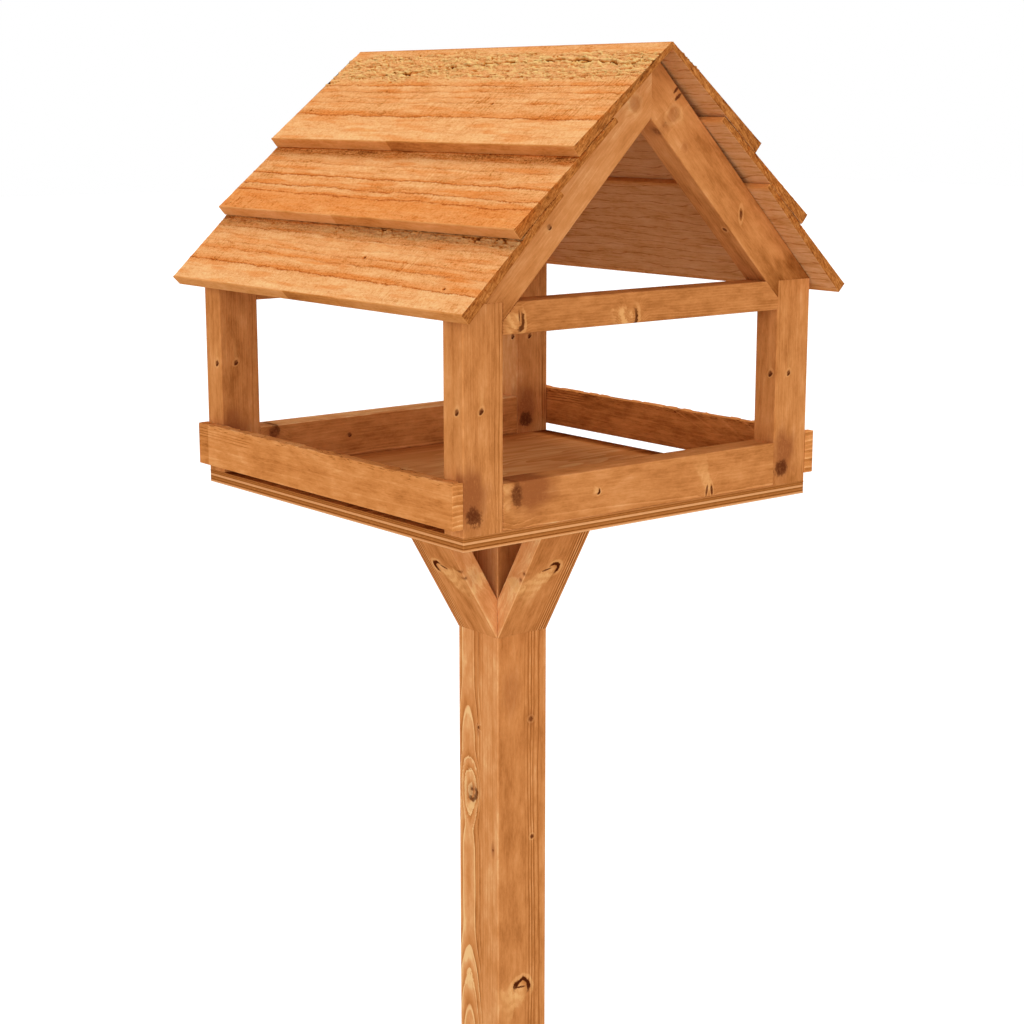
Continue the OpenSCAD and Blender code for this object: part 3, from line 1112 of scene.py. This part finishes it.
roof_board("right", "lower", seed=83, slope=0.012,
           lines=[(-8, 0), (10, 0.2), (21, 0.4), (33, 0.9), (47, 0.3), (58, 0.6), (69, 0.4),
                  (80, 0.5), (91, 0.3), (121, 0.2), (154, 0)],
           grey_band=(76, 92, 0.7))


# ---------------------------------------------------------------- planed timbers

# Own axes of timbers: along the grain, then across
UPRIGHT = (Z, X, Y)
LEVEL = (X, Y, Z)
DEEP = (Y, Z, X)


def low_corner(node):
    low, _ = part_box(node)
    return tuple(v * METRE for v in low)


def size_of(node):
    low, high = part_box(node)
    return tuple((high - low) * METRE)


def planed(name, node, axis, axes, slot="planed_timber", origin=None, shape=None, **finish):
    """A timber carried along an axis, in its own stain. axes are its own axes, the
    first along the grain, and finish is what its stain wants."""
    piece = carried(name, node, axis, axes[0], **(shape or {}))
    origin = low_corner(node) if origin is None else origin
    piece.data.materials.append(planed_timber("stained_" + name, origin, axes, **finish))


def pins(up, right, back):
    """A thin branch that comes out on the two faces beside a corner, pale wood above it."""
    shape = dict(
        size=2.0, heart=0.78, cloud=0.2, crescent=0.9, lie=-150, thick=0.5, wrap=0.1, flame=0.22,
        toward=0, tilt=-38, tall=1.4, reach=13, spread=0.03, rim=0.28, deep=6, bulge=1.2,
    )
    return [Knot((up, right, 0), 90, **shape), Knot((up, 0, back), 0, **shape)]


def smudge(at, turn=90, **wants):
    """A dark, mottled knot with a brown cloud drawn up the timber from it."""
    shape = dict(size=10.5, heart=0.95, cloud=1.0, trail=1.7, rise=1.5, aside=0.25, tall=0.95,
                 bulge=0.8, deep=8, twist=0.9)
    return Knot(at, turn, **{**shape, **wants})


def hook(at, size, lie, toward, turn=90, tail=None, **wants):
    """A loose knot: a thick dark hook, pale wood inside it and curls of pale grain that
    run from it. tail is the middle, half length and angle of a thin dark slit in it."""
    shape = dict(heart=0.0, cloud=0.0, crescent=1.0, thick=0.25, wrap=0.5, flame=0.75, curl=0.4,
                 reach=8.0, spread=0.34, deep=14, bulge=1.3)
    found = [Knot(at, turn, size, lie=lie, toward=toward, **{**shape, **wants})]
    if tail:
        middle, half, angle = tail
        found.append(Knot((*middle, 0), turn, 1.3, heart=1.0, cloud=0.0, tall=half / 1.3,
                          tilt=angle, bulge=0.0, deep=14))
    return found


def shallow(at, size, turn=0, deep=8, **wants):
    """A knot in one face only."""
    return Knot(at, turn, size, deep=deep, **wants)


def pale_grain(at, size, flame, toward, **wants):
    """Pale curly grain in one face, with no knot in it."""
    return shallow(at, size, heart=0.0, cloud=0.0, flame=flame, toward=toward, **wants)


# Posts: own axes are up, right and back, from the lowest front left corner
# Each post's left face: made paler as painted light on the front left and back right posts, and deeper as
# painted shade on the front right post, where it faces inward
LEFT_FACE = (1, 2.2, 0.6)
planed("front_left_post", "post_front_left", 1, UPRIGHT, heart=(75, 12), spacing=2.6, lean=0.006,
       seed=3.1, paler=[(0.05, LEFT_FACE)], lined=[(0.06, (1, 33, 39))],
       creases=[(1, 41.0, 0.8, 0.32), (1, 36.5, 0.9, 0.20)],
       knots=[*pins(113, 20.6, 9), smudge((17.5, 11.5, 0), trail=1.6, twist=1.3)])
# Painted shade on its inner left face
planed("front_right_post", "post_front_right", 1, UPRIGHT, heart=(80, -4), spacing=2.7, lean=0.005,
       seed=7.7, paler=[(-0.08, LEFT_FACE)], creases=[(1, 5, 0.8, 0.15)],
       knots=[*pins(114, 18, 8),
              smudge((18, 12, 0), size=10.0, aside=-0.2, cloud=0.95, trail=1.6, rise=1.4, twist=1.3)])
planed("back_left_post", "post_back_left", 1, UPRIGHT, heart=(70, 10), spacing=2.8, lean=0.006,
       seed=12.3, level=-0.03, creases=[(1, 37, 1.0, 0.2)],
       knots=[*pins(115, 18, 8), smudge((17, 16, 0))])
# Painted light on its left face
planed("back_right_post", "post_back_right", 1, UPRIGHT, heart=(72, -6), spacing=2.7, lean=0.004,
       seed=17.9, paler=[(0.14, LEFT_FACE)], lined=[(0.12, (1, 24, 36))],
       creases=[(1, 38, 1.0, 0.25)],
       knots=[*pins(114, 19, 8), smudge((16, 12, 0), size=9.5, cloud=0.9, rise=1.6)])

# Rails and ties across the gable: own axes are right, back and up
planed("front_rail", "rail_front", 1, LEVEL, heart=(20, -55), spacing=3.4, lean=0.02, seed=21.4,
       lined=[(0.10, (2, 12, 4))],
       knots=[smudge((16, 0, 32.5), 0, size=12.0, tall=0.64, trail=1.3, deep=30, rim=0.12, heart=0.80,
                     twist=1.2),
              pale_grain((3, 0, 36), 4.5, 0.55, 80, curl=0.3, reach=2.6, spread=0.5, twist=1.2),
              pale_grain((4, 0, 20), 4.5, 0.3, 80, curl=0.6, reach=3.5, spread=0.4, twist=1.2),
              *hook((113, 0, 24), 2.8, lie=-25, toward=170, turn=0, reach=2.4, curl=0.0, thick=0.4,
                    wrap=0.2, deep=8),
              shallow((255.6, 0, 7.2), 1.3, heart=0.9, tall=4.6, tilt=80, rim=0.3, bulge=0.5),
              shallow((262.2, 0, 6.6), 1.5, heart=1.0, tall=3.8, tilt=98, rim=0.4, bulge=0.5),
              pale_grain((259, 0, 7), 2.4, 0.5, 90, reach=2.0, bulge=1.5),
              pale_grain((257, 0, 11), 5.0, 0.50, 114, reach=7.5, spread=0.20, curl=0.25, bulge=2.0,
                         twist=1.6)])
# Its top face is made paler as painted light
planed("back_rail", "rail_back", 1, LEVEL, heart=(20, 80), spacing=3.2, lean=0.015, seed=26.1,
       level=-0.05, paler=[(0.34, (2, 42.4, 43.6))], lined=[(0.12, (2, 14, 6))],
       knots=[Knot((17, 0, 36), 0, 6.5, heart=0.7, cloud=0.6, crescent=0.7, lie=30, twist=0.8),
              Knot((113, 0, 24), 0, 2.4, heart=0.7, crescent=1.0, lie=-60)])
planed("front_tie_beam", "tie_beam_front", 1, LEVEL, slot="shaded_timber", heart=(10, -70),
       spacing=2.6, lean=0.012, seed=31.7, level=-0.09, lined=[(0.12, (2, 10, 3))],
       knots=[shallow((17.5, 0, 13.0), 5.2, heart=0.0, cloud=0.0, crescent=0.85, thick=0.28, lie=-14,
                      wrap=0.1, tall=1.75, tilt=98, flame=0.62, toward=190, curl=0.55, reach=4.0,
                      spread=0.6, bulge=0.6, twist=0.6),
              shallow((18.3, 0, 15.5), 0.8, heart=0.9, cloud=0.0, tall=7.5, tilt=94, bulge=0.0),
              *hook((153.5, 0, 6.5), 9.0, lie=-6, toward=205, turn=0, tall=0.72, curl=0.75,
                    flame=0.7, reach=3.0, spread=0.5, wrap=0.1, deep=8)])
planed("back_tie_beam", "tie_beam_back", 1, LEVEL, slot="shaded_timber", heart=(15, 80),
       spacing=2.8, lean=0.010, seed=36.3, level=-0.05,
       knots=[Knot((240, 0, 12), 0, 3.0, crescent=0.8, flame=0.5, lie=10)])


def ragged_top(seed):
    """Cuts the rail's upper edge down by up to 1.3 mm in short runs, as a coarse saw
    leaves it."""

    def relief(place, edge_of, corners):
        along, across, height = place[:, :, 1], place[:, :, 0], place[:, :, 2]
        top = step(height, height.max() - 2.5, height.max() - 0.3)
        bite = step(rough(along / 12, across / 30, seed, 3), -0.02, 0.16)
        return -1.3 * bite * top, {}

    return relief


# Side rails: own axes are back, up and right. Their top edges are ragged from the saw
# Each side rail's inner face is made deeper as painted shade
for side, seed, heart, shaded_inner_face in (
    ("left", 41, -60, (2, 10.8, 11.6)),
    ("right", 47, 95, (2, 1.2, 0.4)),
):
    planed(f"{side}_rail", f"rail_{side}", 0, DEEP, heart=(heart, 6), spacing=4.6, lean=0.01,
           seed=seed + 0.6, streaks=1.1, ends=0.10, end_rings=0.8, level=0.07,
           tone=(1.04, 1.0, 0.91), flecks=[(0.08,), (0.38, (1, 35, 41))],
           paler=[(-0.17, (0, 420.5, 422.5)), (0.07, (0, 400, 408), (0, 422.5, 420.5)),
                  (0.06, (1, 42.0, 42.9)), (-0.20, shaded_inner_face)],
           creases=[(1, place, 0.6, 0.30, (0, 330, 352)) for place in (29.5, 32.5, 35.0, 38.0)],
           shape=dict(long_arris=0.8, end_arris=0.5, spacing=2.2, stations=6, sharp=30,
                      relief=ragged_top(seed)))


def rafter(name, node, side, **finish):
    """Own axes are up the slope, back and square to the slope. They start at the
    rafter's outer end, level with the tops of the posts."""
    low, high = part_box(node)
    slope = 1 / math.sqrt(2)
    up = (-side * slope, 0.0, slope)
    square = tuple(np.cross(up, Y))
    post_top = size_of("post_front_left")[2] + low_corner("post_front_left")[2]
    foot = (side * max(abs(low.x), abs(high.x)) * METRE, low_corner(node)[1], post_top)
    planed(name, node, 1, (up, Y, square), origin=foot, shape=dict(end_arris=0.1), **finish)


# The front rafters' feet are made deeper as painted shade above the posts and the tie. The front left
# rafter's raised level is painted light against the shade of the roof over it
rafter("front_left_rafter", "rafter_front_left", -1, heart=(8, -75), spacing=3.2, lean=-0.012,
       seed=52.8, level=0.12, paler=[(-0.26, (0, 58, 26))],
       knots=[shallow((114.6, 0, -24), 2.2, heart=0.5, crescent=0.9, flame=0.4, lie=-90),
              shallow((262, 0, -20), 4.6, heart=0.0, cloud=0.46, rim=0.30, flame=0.22, toward=150,
                      reach=4, spread=0.5, twist=1.6, tall=1.3, tilt=60)])
# Painted shade at its foot
rafter("front_right_rafter", "rafter_front_right", 1, heart=(-60, 20), spacing=3.4, lean=0.012,
       seed=57.2, level=-0.06,
       paler=[(-0.30, (0, 62, 30)), (0.12, (0, 200, 240)), (-0.10, (0, 268, 282))],
       knots=[shallow((264, 0, 3.9), 1.6, heart=1.0, tall=2.7, tilt=90),
              shallow((257.6, 0, 6.5), 1.9, heart=1.0, cloud=0.4, tall=3.2, tilt=84),
              shallow((250, 0, 21), 4.8, heart=0.0, cloud=0.46, rim=0.34, flame=0.3, toward=220,
                      reach=4.5, spread=0.5, twist=1.6, tall=1.4, tilt=70),
              shallow((218, 0, 31.7), 3.0, heart=0.0, twist=1.0),
              shallow((251.5, 6.7, 44), 5.0, turn=90, deep=10, heart=0.3, cloud=0.6, crescent=0.4,
                      lie=90, twist=1.5),
              shallow((118, 7.5, 44), 2.0, turn=90, deep=10, heart=0.9, cloud=0.4, rim=0.5),
              shallow((118.4, 0, 23.5), 2.0, heart=0.9, tall=2.7, tilt=-45, rim=0.36, bulge=0.5)])
rafter("back_left_rafter", "rafter_back_left", -1, heart=(70, -20), lean=0.01, seed=61.4)
rafter("back_right_rafter", "rafter_back_right", 1, heart=(70, 20), lean=-0.01, seed=66.9)

# Pole: own axes are up, right and back
on_left, on_front = (1, 2.5, 0.8), (2, 2.5, 0.8)
planed("square_pole", "pole", 1, UPRIGHT, heart=(38.5, 50), spacing=2.5, wander=0.35, ripple=0.7,
       seed=71.5, shape=dict(long_arris=1.0),
       bends=[(40, 540, 20.0), *((at - 38, at + 26, 2.5) for at in (586, 629, 655, 799, 928))],
       lines=0.0, lined=[(0.36, on_left, (2, 22, 36))], dense=0.78, beyond=0.85, streaks=0.75,
       level=-0.02, paler=[(0.33, on_left), (-0.13, on_left, (2, 40, 30)),
                           (0.11, on_left, (2, 36, 46)), (0.12, on_front, (1, 60, 63))],
       creases=[*((2, place, 0.7, much, on_left) for place, much in
                  ((35.5, 0.26), (31, 0.12), (27, 0.24), (22, 0.10), (18.5, 0.20), (13, 0.10),
                   (9, 0.24))),
                *((1, place, wide, much, on_front) for place, wide, much in
                  ((38, 0.8, 0.14), (42.5, 1.2, 0.30), (44.6, 0.7, -0.16), (46.5, 0.8, 0.40),
                   (48.4, 0.7, -0.18), (50, 0.9, 0.36), (53, 1.0, -0.16), (56.5, 1.1, 0.34)))],
       knots=[shallow((831, 0, 45), 9.0, deep=12, heart=0.0, cloud=0.10, halo=0.06, tall=1.6,
                      bulge=-0.5, twist=0.4),
              shallow((829, 0, 44), 7.6, deep=12, heart=0.10, cloud=0.26, crescent=0.75, lie=-135,
                      thick=0.20, wrap=0.5, rim=0.26, tall=1.25, bulge=0, twist=0.9),
              shallow((833, 0, 44), 2.3, deep=12, heart=0.75, flame=0.5, reach=3, bulge=0,
                      twist=1.0),
              shallow((904.5, 0, 32.4), 1.8, deep=10, heart=0.9, cloud=0.5, trail=2.4, rise=-1.6),
              shallow((774, 0, 8.2), 1.8, deep=10, cloud=0.6, trail=3.0, bulge=0.5),
              shallow((913, 45.2, 0), 2.6, turn=90, deep=10, heart=0.8, cloud=0.5, rim=0.4,
                      trail=2.0),
              shallow((781, 46.9, 0), 2.2, turn=90, deep=10, heart=0.9, rim=0.5),
              shallow((949, 19, 0), 7.0, turn=90, deep=10, heart=0.0, trail=2.0, bulge=0.0),
              *hook((610, 32, 0), 10.0, lie=-20, toward=120, tall=0.92, wrap=0.6, curl=0.3,
                    reach=4.4, spread=0.5, thick=0.24, deep=4, tail=((612, 29), 8.0, 82),
                    twist=0.5)])


def brace(name, node, out, axis, **finish):
    """A brace leans out from the pole as it rises, or as it falls for a foot brace. Its
    own axes are along it away from the pole, across it and square to both, from the
    middle of its box; its grain follows its longest side."""
    low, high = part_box(node)
    corners, _, _ = outline_of(node, axis)
    sides = np.roll(corners, -1, 0) - corners
    long_side = sides[np.argmax(np.linalg.norm(sides, axis=1))]
    up, across = np.zeros(3), np.zeros(3)
    up[[(axis + 1) % 3, (axis + 2) % 3]] = long_side / np.linalg.norm(long_side)
    across[axis] = 1.0
    if up @ np.array(out, float) < 0:
        up = -up
    middle = (np.array(low) + np.array(high)) / 2 * METRE
    own = (tuple(up), tuple(across), tuple(np.cross(up, across)))
    planed(name, node, axis, own, origin=tuple(middle), heart=(-20, 60), **finish)


def swirl(at, out):
    """Brown rings where the same branch comes out on the side of the brace, and two
    small knots beyond them. out is the way to its outer face."""
    rings = dict(heart=0.0, cloud=0.18, halo=0.12, flame=0.66, curl=0.8, toward=200, reach=3.5,
                 spread=1.2, tall=1.6, deep=6, twist=1.8)
    small = dict(deep=5, bulge=0.4)
    along, across, square = at
    return [Knot(at, 0, 5.6, **rings),
            Knot((along + 15, across, square + 10 * out), 0, 1.6, cloud=0.4, **small),
            Knot((along + 6, across, square + 9 * out), 0, 1.5, heart=0.4, cloud=0.5, **small)]


# The outer faces of the two head braces in front: ring lines, and painted light that
# makes their inner sides paler
ring_creases = [(1, at, 1.3, much) for at, much in
                ((14.5, 0.16), (18.0, 0.30), (19.8, -0.14), (21.6, 0.44), (23.4, -0.18),
                 (25.2, 0.52), (27.0, -0.20), (28.8, 0.48))]
LIT_INNER_SIDE = (1, -31.6, -32.6)
brace_marks = {
    "left_head_brace": dict(
        knots=[*hook((1, 5.5, 0), 6.8, lie=-58, toward=120, tail=((3, -2.6), 6.0, 106)),
               *swirl((-12, -33, -10), 1)],
        creases=ring_creases, paler=[(0.20, LIT_INNER_SIDE)]),
    "front_head_brace": dict(
        knots=[*hook((2.5, 2.5, 0), 7.2, lie=-50, toward=138, tail=((3.2, -5.5), 6.5, 103)),
               *swirl((-14, -33, 12), -1)],
        creases=ring_creases, paler=[(0.27, LIT_INNER_SIDE)], level=-0.03),
}
# Each brace's side, the way out from the pole, and the axis that it is carried along
SIDES = (("left", (-1, 0, 0), 1), ("right", X, 1), ("front", (0, -1, 0), 0), ("back", Y, 0))
BRACE_SEEDS = {"head": (76.3, 81.3, 86.7, 91.2), "foot": (95.8, 99.1, 103.6, 107.2)}
for place, seeds in BRACE_SEEDS.items():
    for (side, out, axis), seed in zip(SIDES, seeds):
        name = f"{side}_{place}_brace"
        brace(name, f"{place}_brace_{side}", out, axis, seed=seed, **brace_marks.get(name, {}))

# Foot beams, halved into each other
planed("long_foot_beam", "foot_long", 1, LEVEL, heart=(30, -60), spacing=3.2, lean=0.01, seed=111.4,
       knots=[Knot((130, 0, 28), 0, 4.0, crescent=0.8, flame=0.6, lie=20)])
planed("cross_foot_beam", "foot_cross", 0, DEEP, heart=(-60, 30), spacing=3.2, lean=0.01, seed=116.9,
       knots=[Knot((460, 28, 0), 90, 4.0, crescent=0.8, flame=0.6, lie=200)])


# ---------------------------------------------------------------- tray floor

# Each ply by its share of the way down the edge, and how pale it is
PLIES = [
    (down, (pale,) * 3) for down, pale in
    ((0.0, 0.46), (0.07, 0.36), (0.12, 0.14), (0.18, 0.42), (0.28, 0.20), (0.34, 0.80), (0.46, 0.84),
     (0.51, 0.16), (0.59, 0.34), (0.70, 0.42), (0.76, 0.06), (0.84, 0.52), (0.93, 0.86))
]
# The pale plies, and the tone of the stain on the face
BIRCH = (0.76, 0.37, 0.175)
PLYWOOD_TONE = (0.99, 0.99, 0.93)


def plywood(name, origin, size, seed):
    """Veneers glued crosswise. The face veneer is peeled from the log, so its rings are
    broad flames; painted shade deepens it toward the back and at both sides, under the
    rails. The edge shows each ply by its height."""
    f = Finish(bpy.data.materials.new(name))
    x, y, z = f.grain_space(origin, LEVEL)
    warp = f.noise(x / 260 + seed, y / 46, z / 30, detail=2.0)
    quick = f.noise(x / 60 + seed, y / 9, z / 9, detail=2.0)
    streak = f.noise(x / 80, y / 2.4, z / 4 + seed, detail=3.0, roughness=0.6)
    fine = f.noise(x / 12, y / 0.6, z / 2 + seed, detail=2.0)
    broad = f.noise(x / 190, y / 20 + seed, z / 9, detail=3.0, roughness=0.45, distortion=0.5)
    count = warp * 11.0 + y / 30 + quick * 0.35
    within = f.part(count)
    share = f.chance(count - within)
    late = f.smooth(within, 0.2, 0.92) * f.smooth(within, 1.0, 0.95)
    tint = 0.87 - late * (0.06 + share * 0.20) + streak * 0.12 + fine * 0.07 + warp * 0.2 + broad * 0.36
    # Painted shade toward the back, under the back rail, and along both sides under the side rails
    tint = tint - f.smooth(y, 310, 410) * 0.24 - f.smooth(abs(x - size[0] / 2), 190, 208) * 0.5

    down = (size[2] - z) / size[2]
    wave = f.noise(x / 60, y / 60, z / 1.2 + seed, detail=2.0) * 0.03
    level = f.node("SeparateColor", None, {0: f.ramp(f.limit(down + wave), PLIES)})
    grit = f.noise(x / 5, y / 5, z / 0.5 + seed, detail=2.0)
    edge = level + grit * 0.35 + streak * 0.10
    side = f.smooth(f.facing(Z), 0.75, 0.5)
    tint = tint + side * (edge - tint)
    # Painted highlight along the arrises
    arris_highlight = f.attribute("arris") * 0.05
    colour = f.ramp(f.limit(tint + arris_highlight), shaded(STAIN, PLYWOOD_TONE))
    colour = f.blend(side * f.smooth(level, 0.36, 0.85) * 0.42, colour, BIRCH)
    height = streak * 0.8 + fine * 0.6 + side * (grit * 1.2 + level * 0.8)
    roughness = f.limit(0.6 + fine * 0.3 + side * 0.15, 0.3, 1.0)
    return f.surface(colour, roughness, height, 0.3)


# The edge is a little uneven: how far in each ply lies is a cosine of its height
heights = np.linspace(0.08, 0.92, 12)
tray_floor = carried(
    "tray_floor", "platform", 2, Z, long_arris=1.0, end_arris=0.5,
    profile=(heights, 0.12 + 0.10 * np.cos(heights * 44)), sharp=40,
)
tray_floor.data.materials.append(
    plywood("stained_plywood", low_corner("platform"), size_of("platform"), 5.2)
)


# ---------------------------------------------------------------- studio

# In metres: half the floor's width, and where the camera stands and looks
FLOOR_HALF = 30.0
EYE = (-1.26027, -1.57774, 1.59759)
LOOKED_AT = (0.0, -0.01608, 1.17972)
LENS = 69.33
LAMP_DISTANCE = 3.0
# Strength of the floor's own white, and of the room where it isn't seen
WHITE_GLOW, ROOM_LIGHT = 0.42, 0.56
# Each lamp's name, its degrees round from the front and up, its strength and its width
LAMPS = (
    ("left_lamp", -66, 10, 1.10, 60),
    ("front_lamp", -14, 12, 0.92, 60),
    ("top_lamp", 100, 78, 1.50, 28),
)


def pale_floor():
    """A wide floor: white to the camera, with the object's shadow kept, and a mid grey
    to the light that falls on it, so that it throws little back up."""
    corners = [(x * FLOOR_HALF, y * FLOOR_HALF, 0) for x, y in ((-1, -1), (1, -1), (1, 1), (-1, 1))]
    mesh = bpy.data.meshes.new("studio_floor")
    mesh.from_pydata(corners, [], [(0, 1, 2, 3)])
    floor = bpy.data.objects.new("studio_floor", mesh)
    bpy.context.scene.collection.objects.link(floor)
    f = Finish(bpy.data.materials.new("studio_floor"))
    x, y, z = f.grain_space((0, 0, 0), LEVEL)
    mottle = f.noise(x / 400, y / 400, z, detail=2.0)
    seen = f.node("LightPath", output=0)
    shade = f.node("BsdfDiffuse", None, {"Color": f.blend(seen, (0.72,) * 3, (0.70,) * 3)})
    white = f.blend(mottle + 0.5, (0.995,) * 3, (1.005,) * 3)
    glow = f.node("Emission", None, {"Color": white, "Strength": seen * WHITE_GLOW})
    both = f.node("AddShader", None, {0: shade, 1: glow})
    f.node("OutputMaterial", None, {"Surface": both})
    mesh.materials.append(f.owner)


def studio_light():
    """An even room, white where it is seen, two wide lamps low in front and one above."""
    world = bpy.data.worlds.new("studio")
    bpy.context.scene.world = world
    f = Finish(world)
    camera, glossy, through = (f.node("LightPath", output=k) for k in (0, 3, 6))
    seen = f.limit(camera + glossy + through)
    strength = ROOM_LIGHT + seen * (1 - ROOM_LIGHT)
    shade = f.node("Background", None, {"Color": (1, 1, 1), "Strength": strength})
    f.node("OutputWorld", None, {"Surface": shade})
    for name, azimuth, elevation, strength, width in LAMPS:
        lamp = bpy.data.lights.new(name, "SUN")
        lamp.energy, lamp.angle = strength, math.radians(width)
        holder = bpy.data.objects.new(name, lamp)
        a, e = math.radians(azimuth), math.radians(elevation)
        come = Vector((math.sin(a) * math.cos(e), -math.cos(a) * math.cos(e), math.sin(e)))
        holder.rotation_euler = come.to_track_quat("Z", "Y").to_euler()
        holder.location = come * LAMP_DISTANCE
        bpy.context.scene.collection.objects.link(holder)


def camera():
    """Stands to the front left of the table, a little above its tray."""
    data = bpy.data.cameras.new("camera")
    data.lens, data.sensor_width = LENS, 36.0
    data.clip_start, data.clip_end = 0.05, 100.0
    holder = bpy.data.objects.new("camera", data)
    holder.location = EYE
    look = Vector(LOOKED_AT) - Vector(EYE)
    holder.rotation_euler = look.to_track_quat("-Z", "Y").to_euler()
    bpy.context.scene.collection.objects.link(holder)
    bpy.context.scene.camera = holder


pale_floor()
studio_light()
camera()
bpy.context.scene.view_settings.view_transform = "Standard"
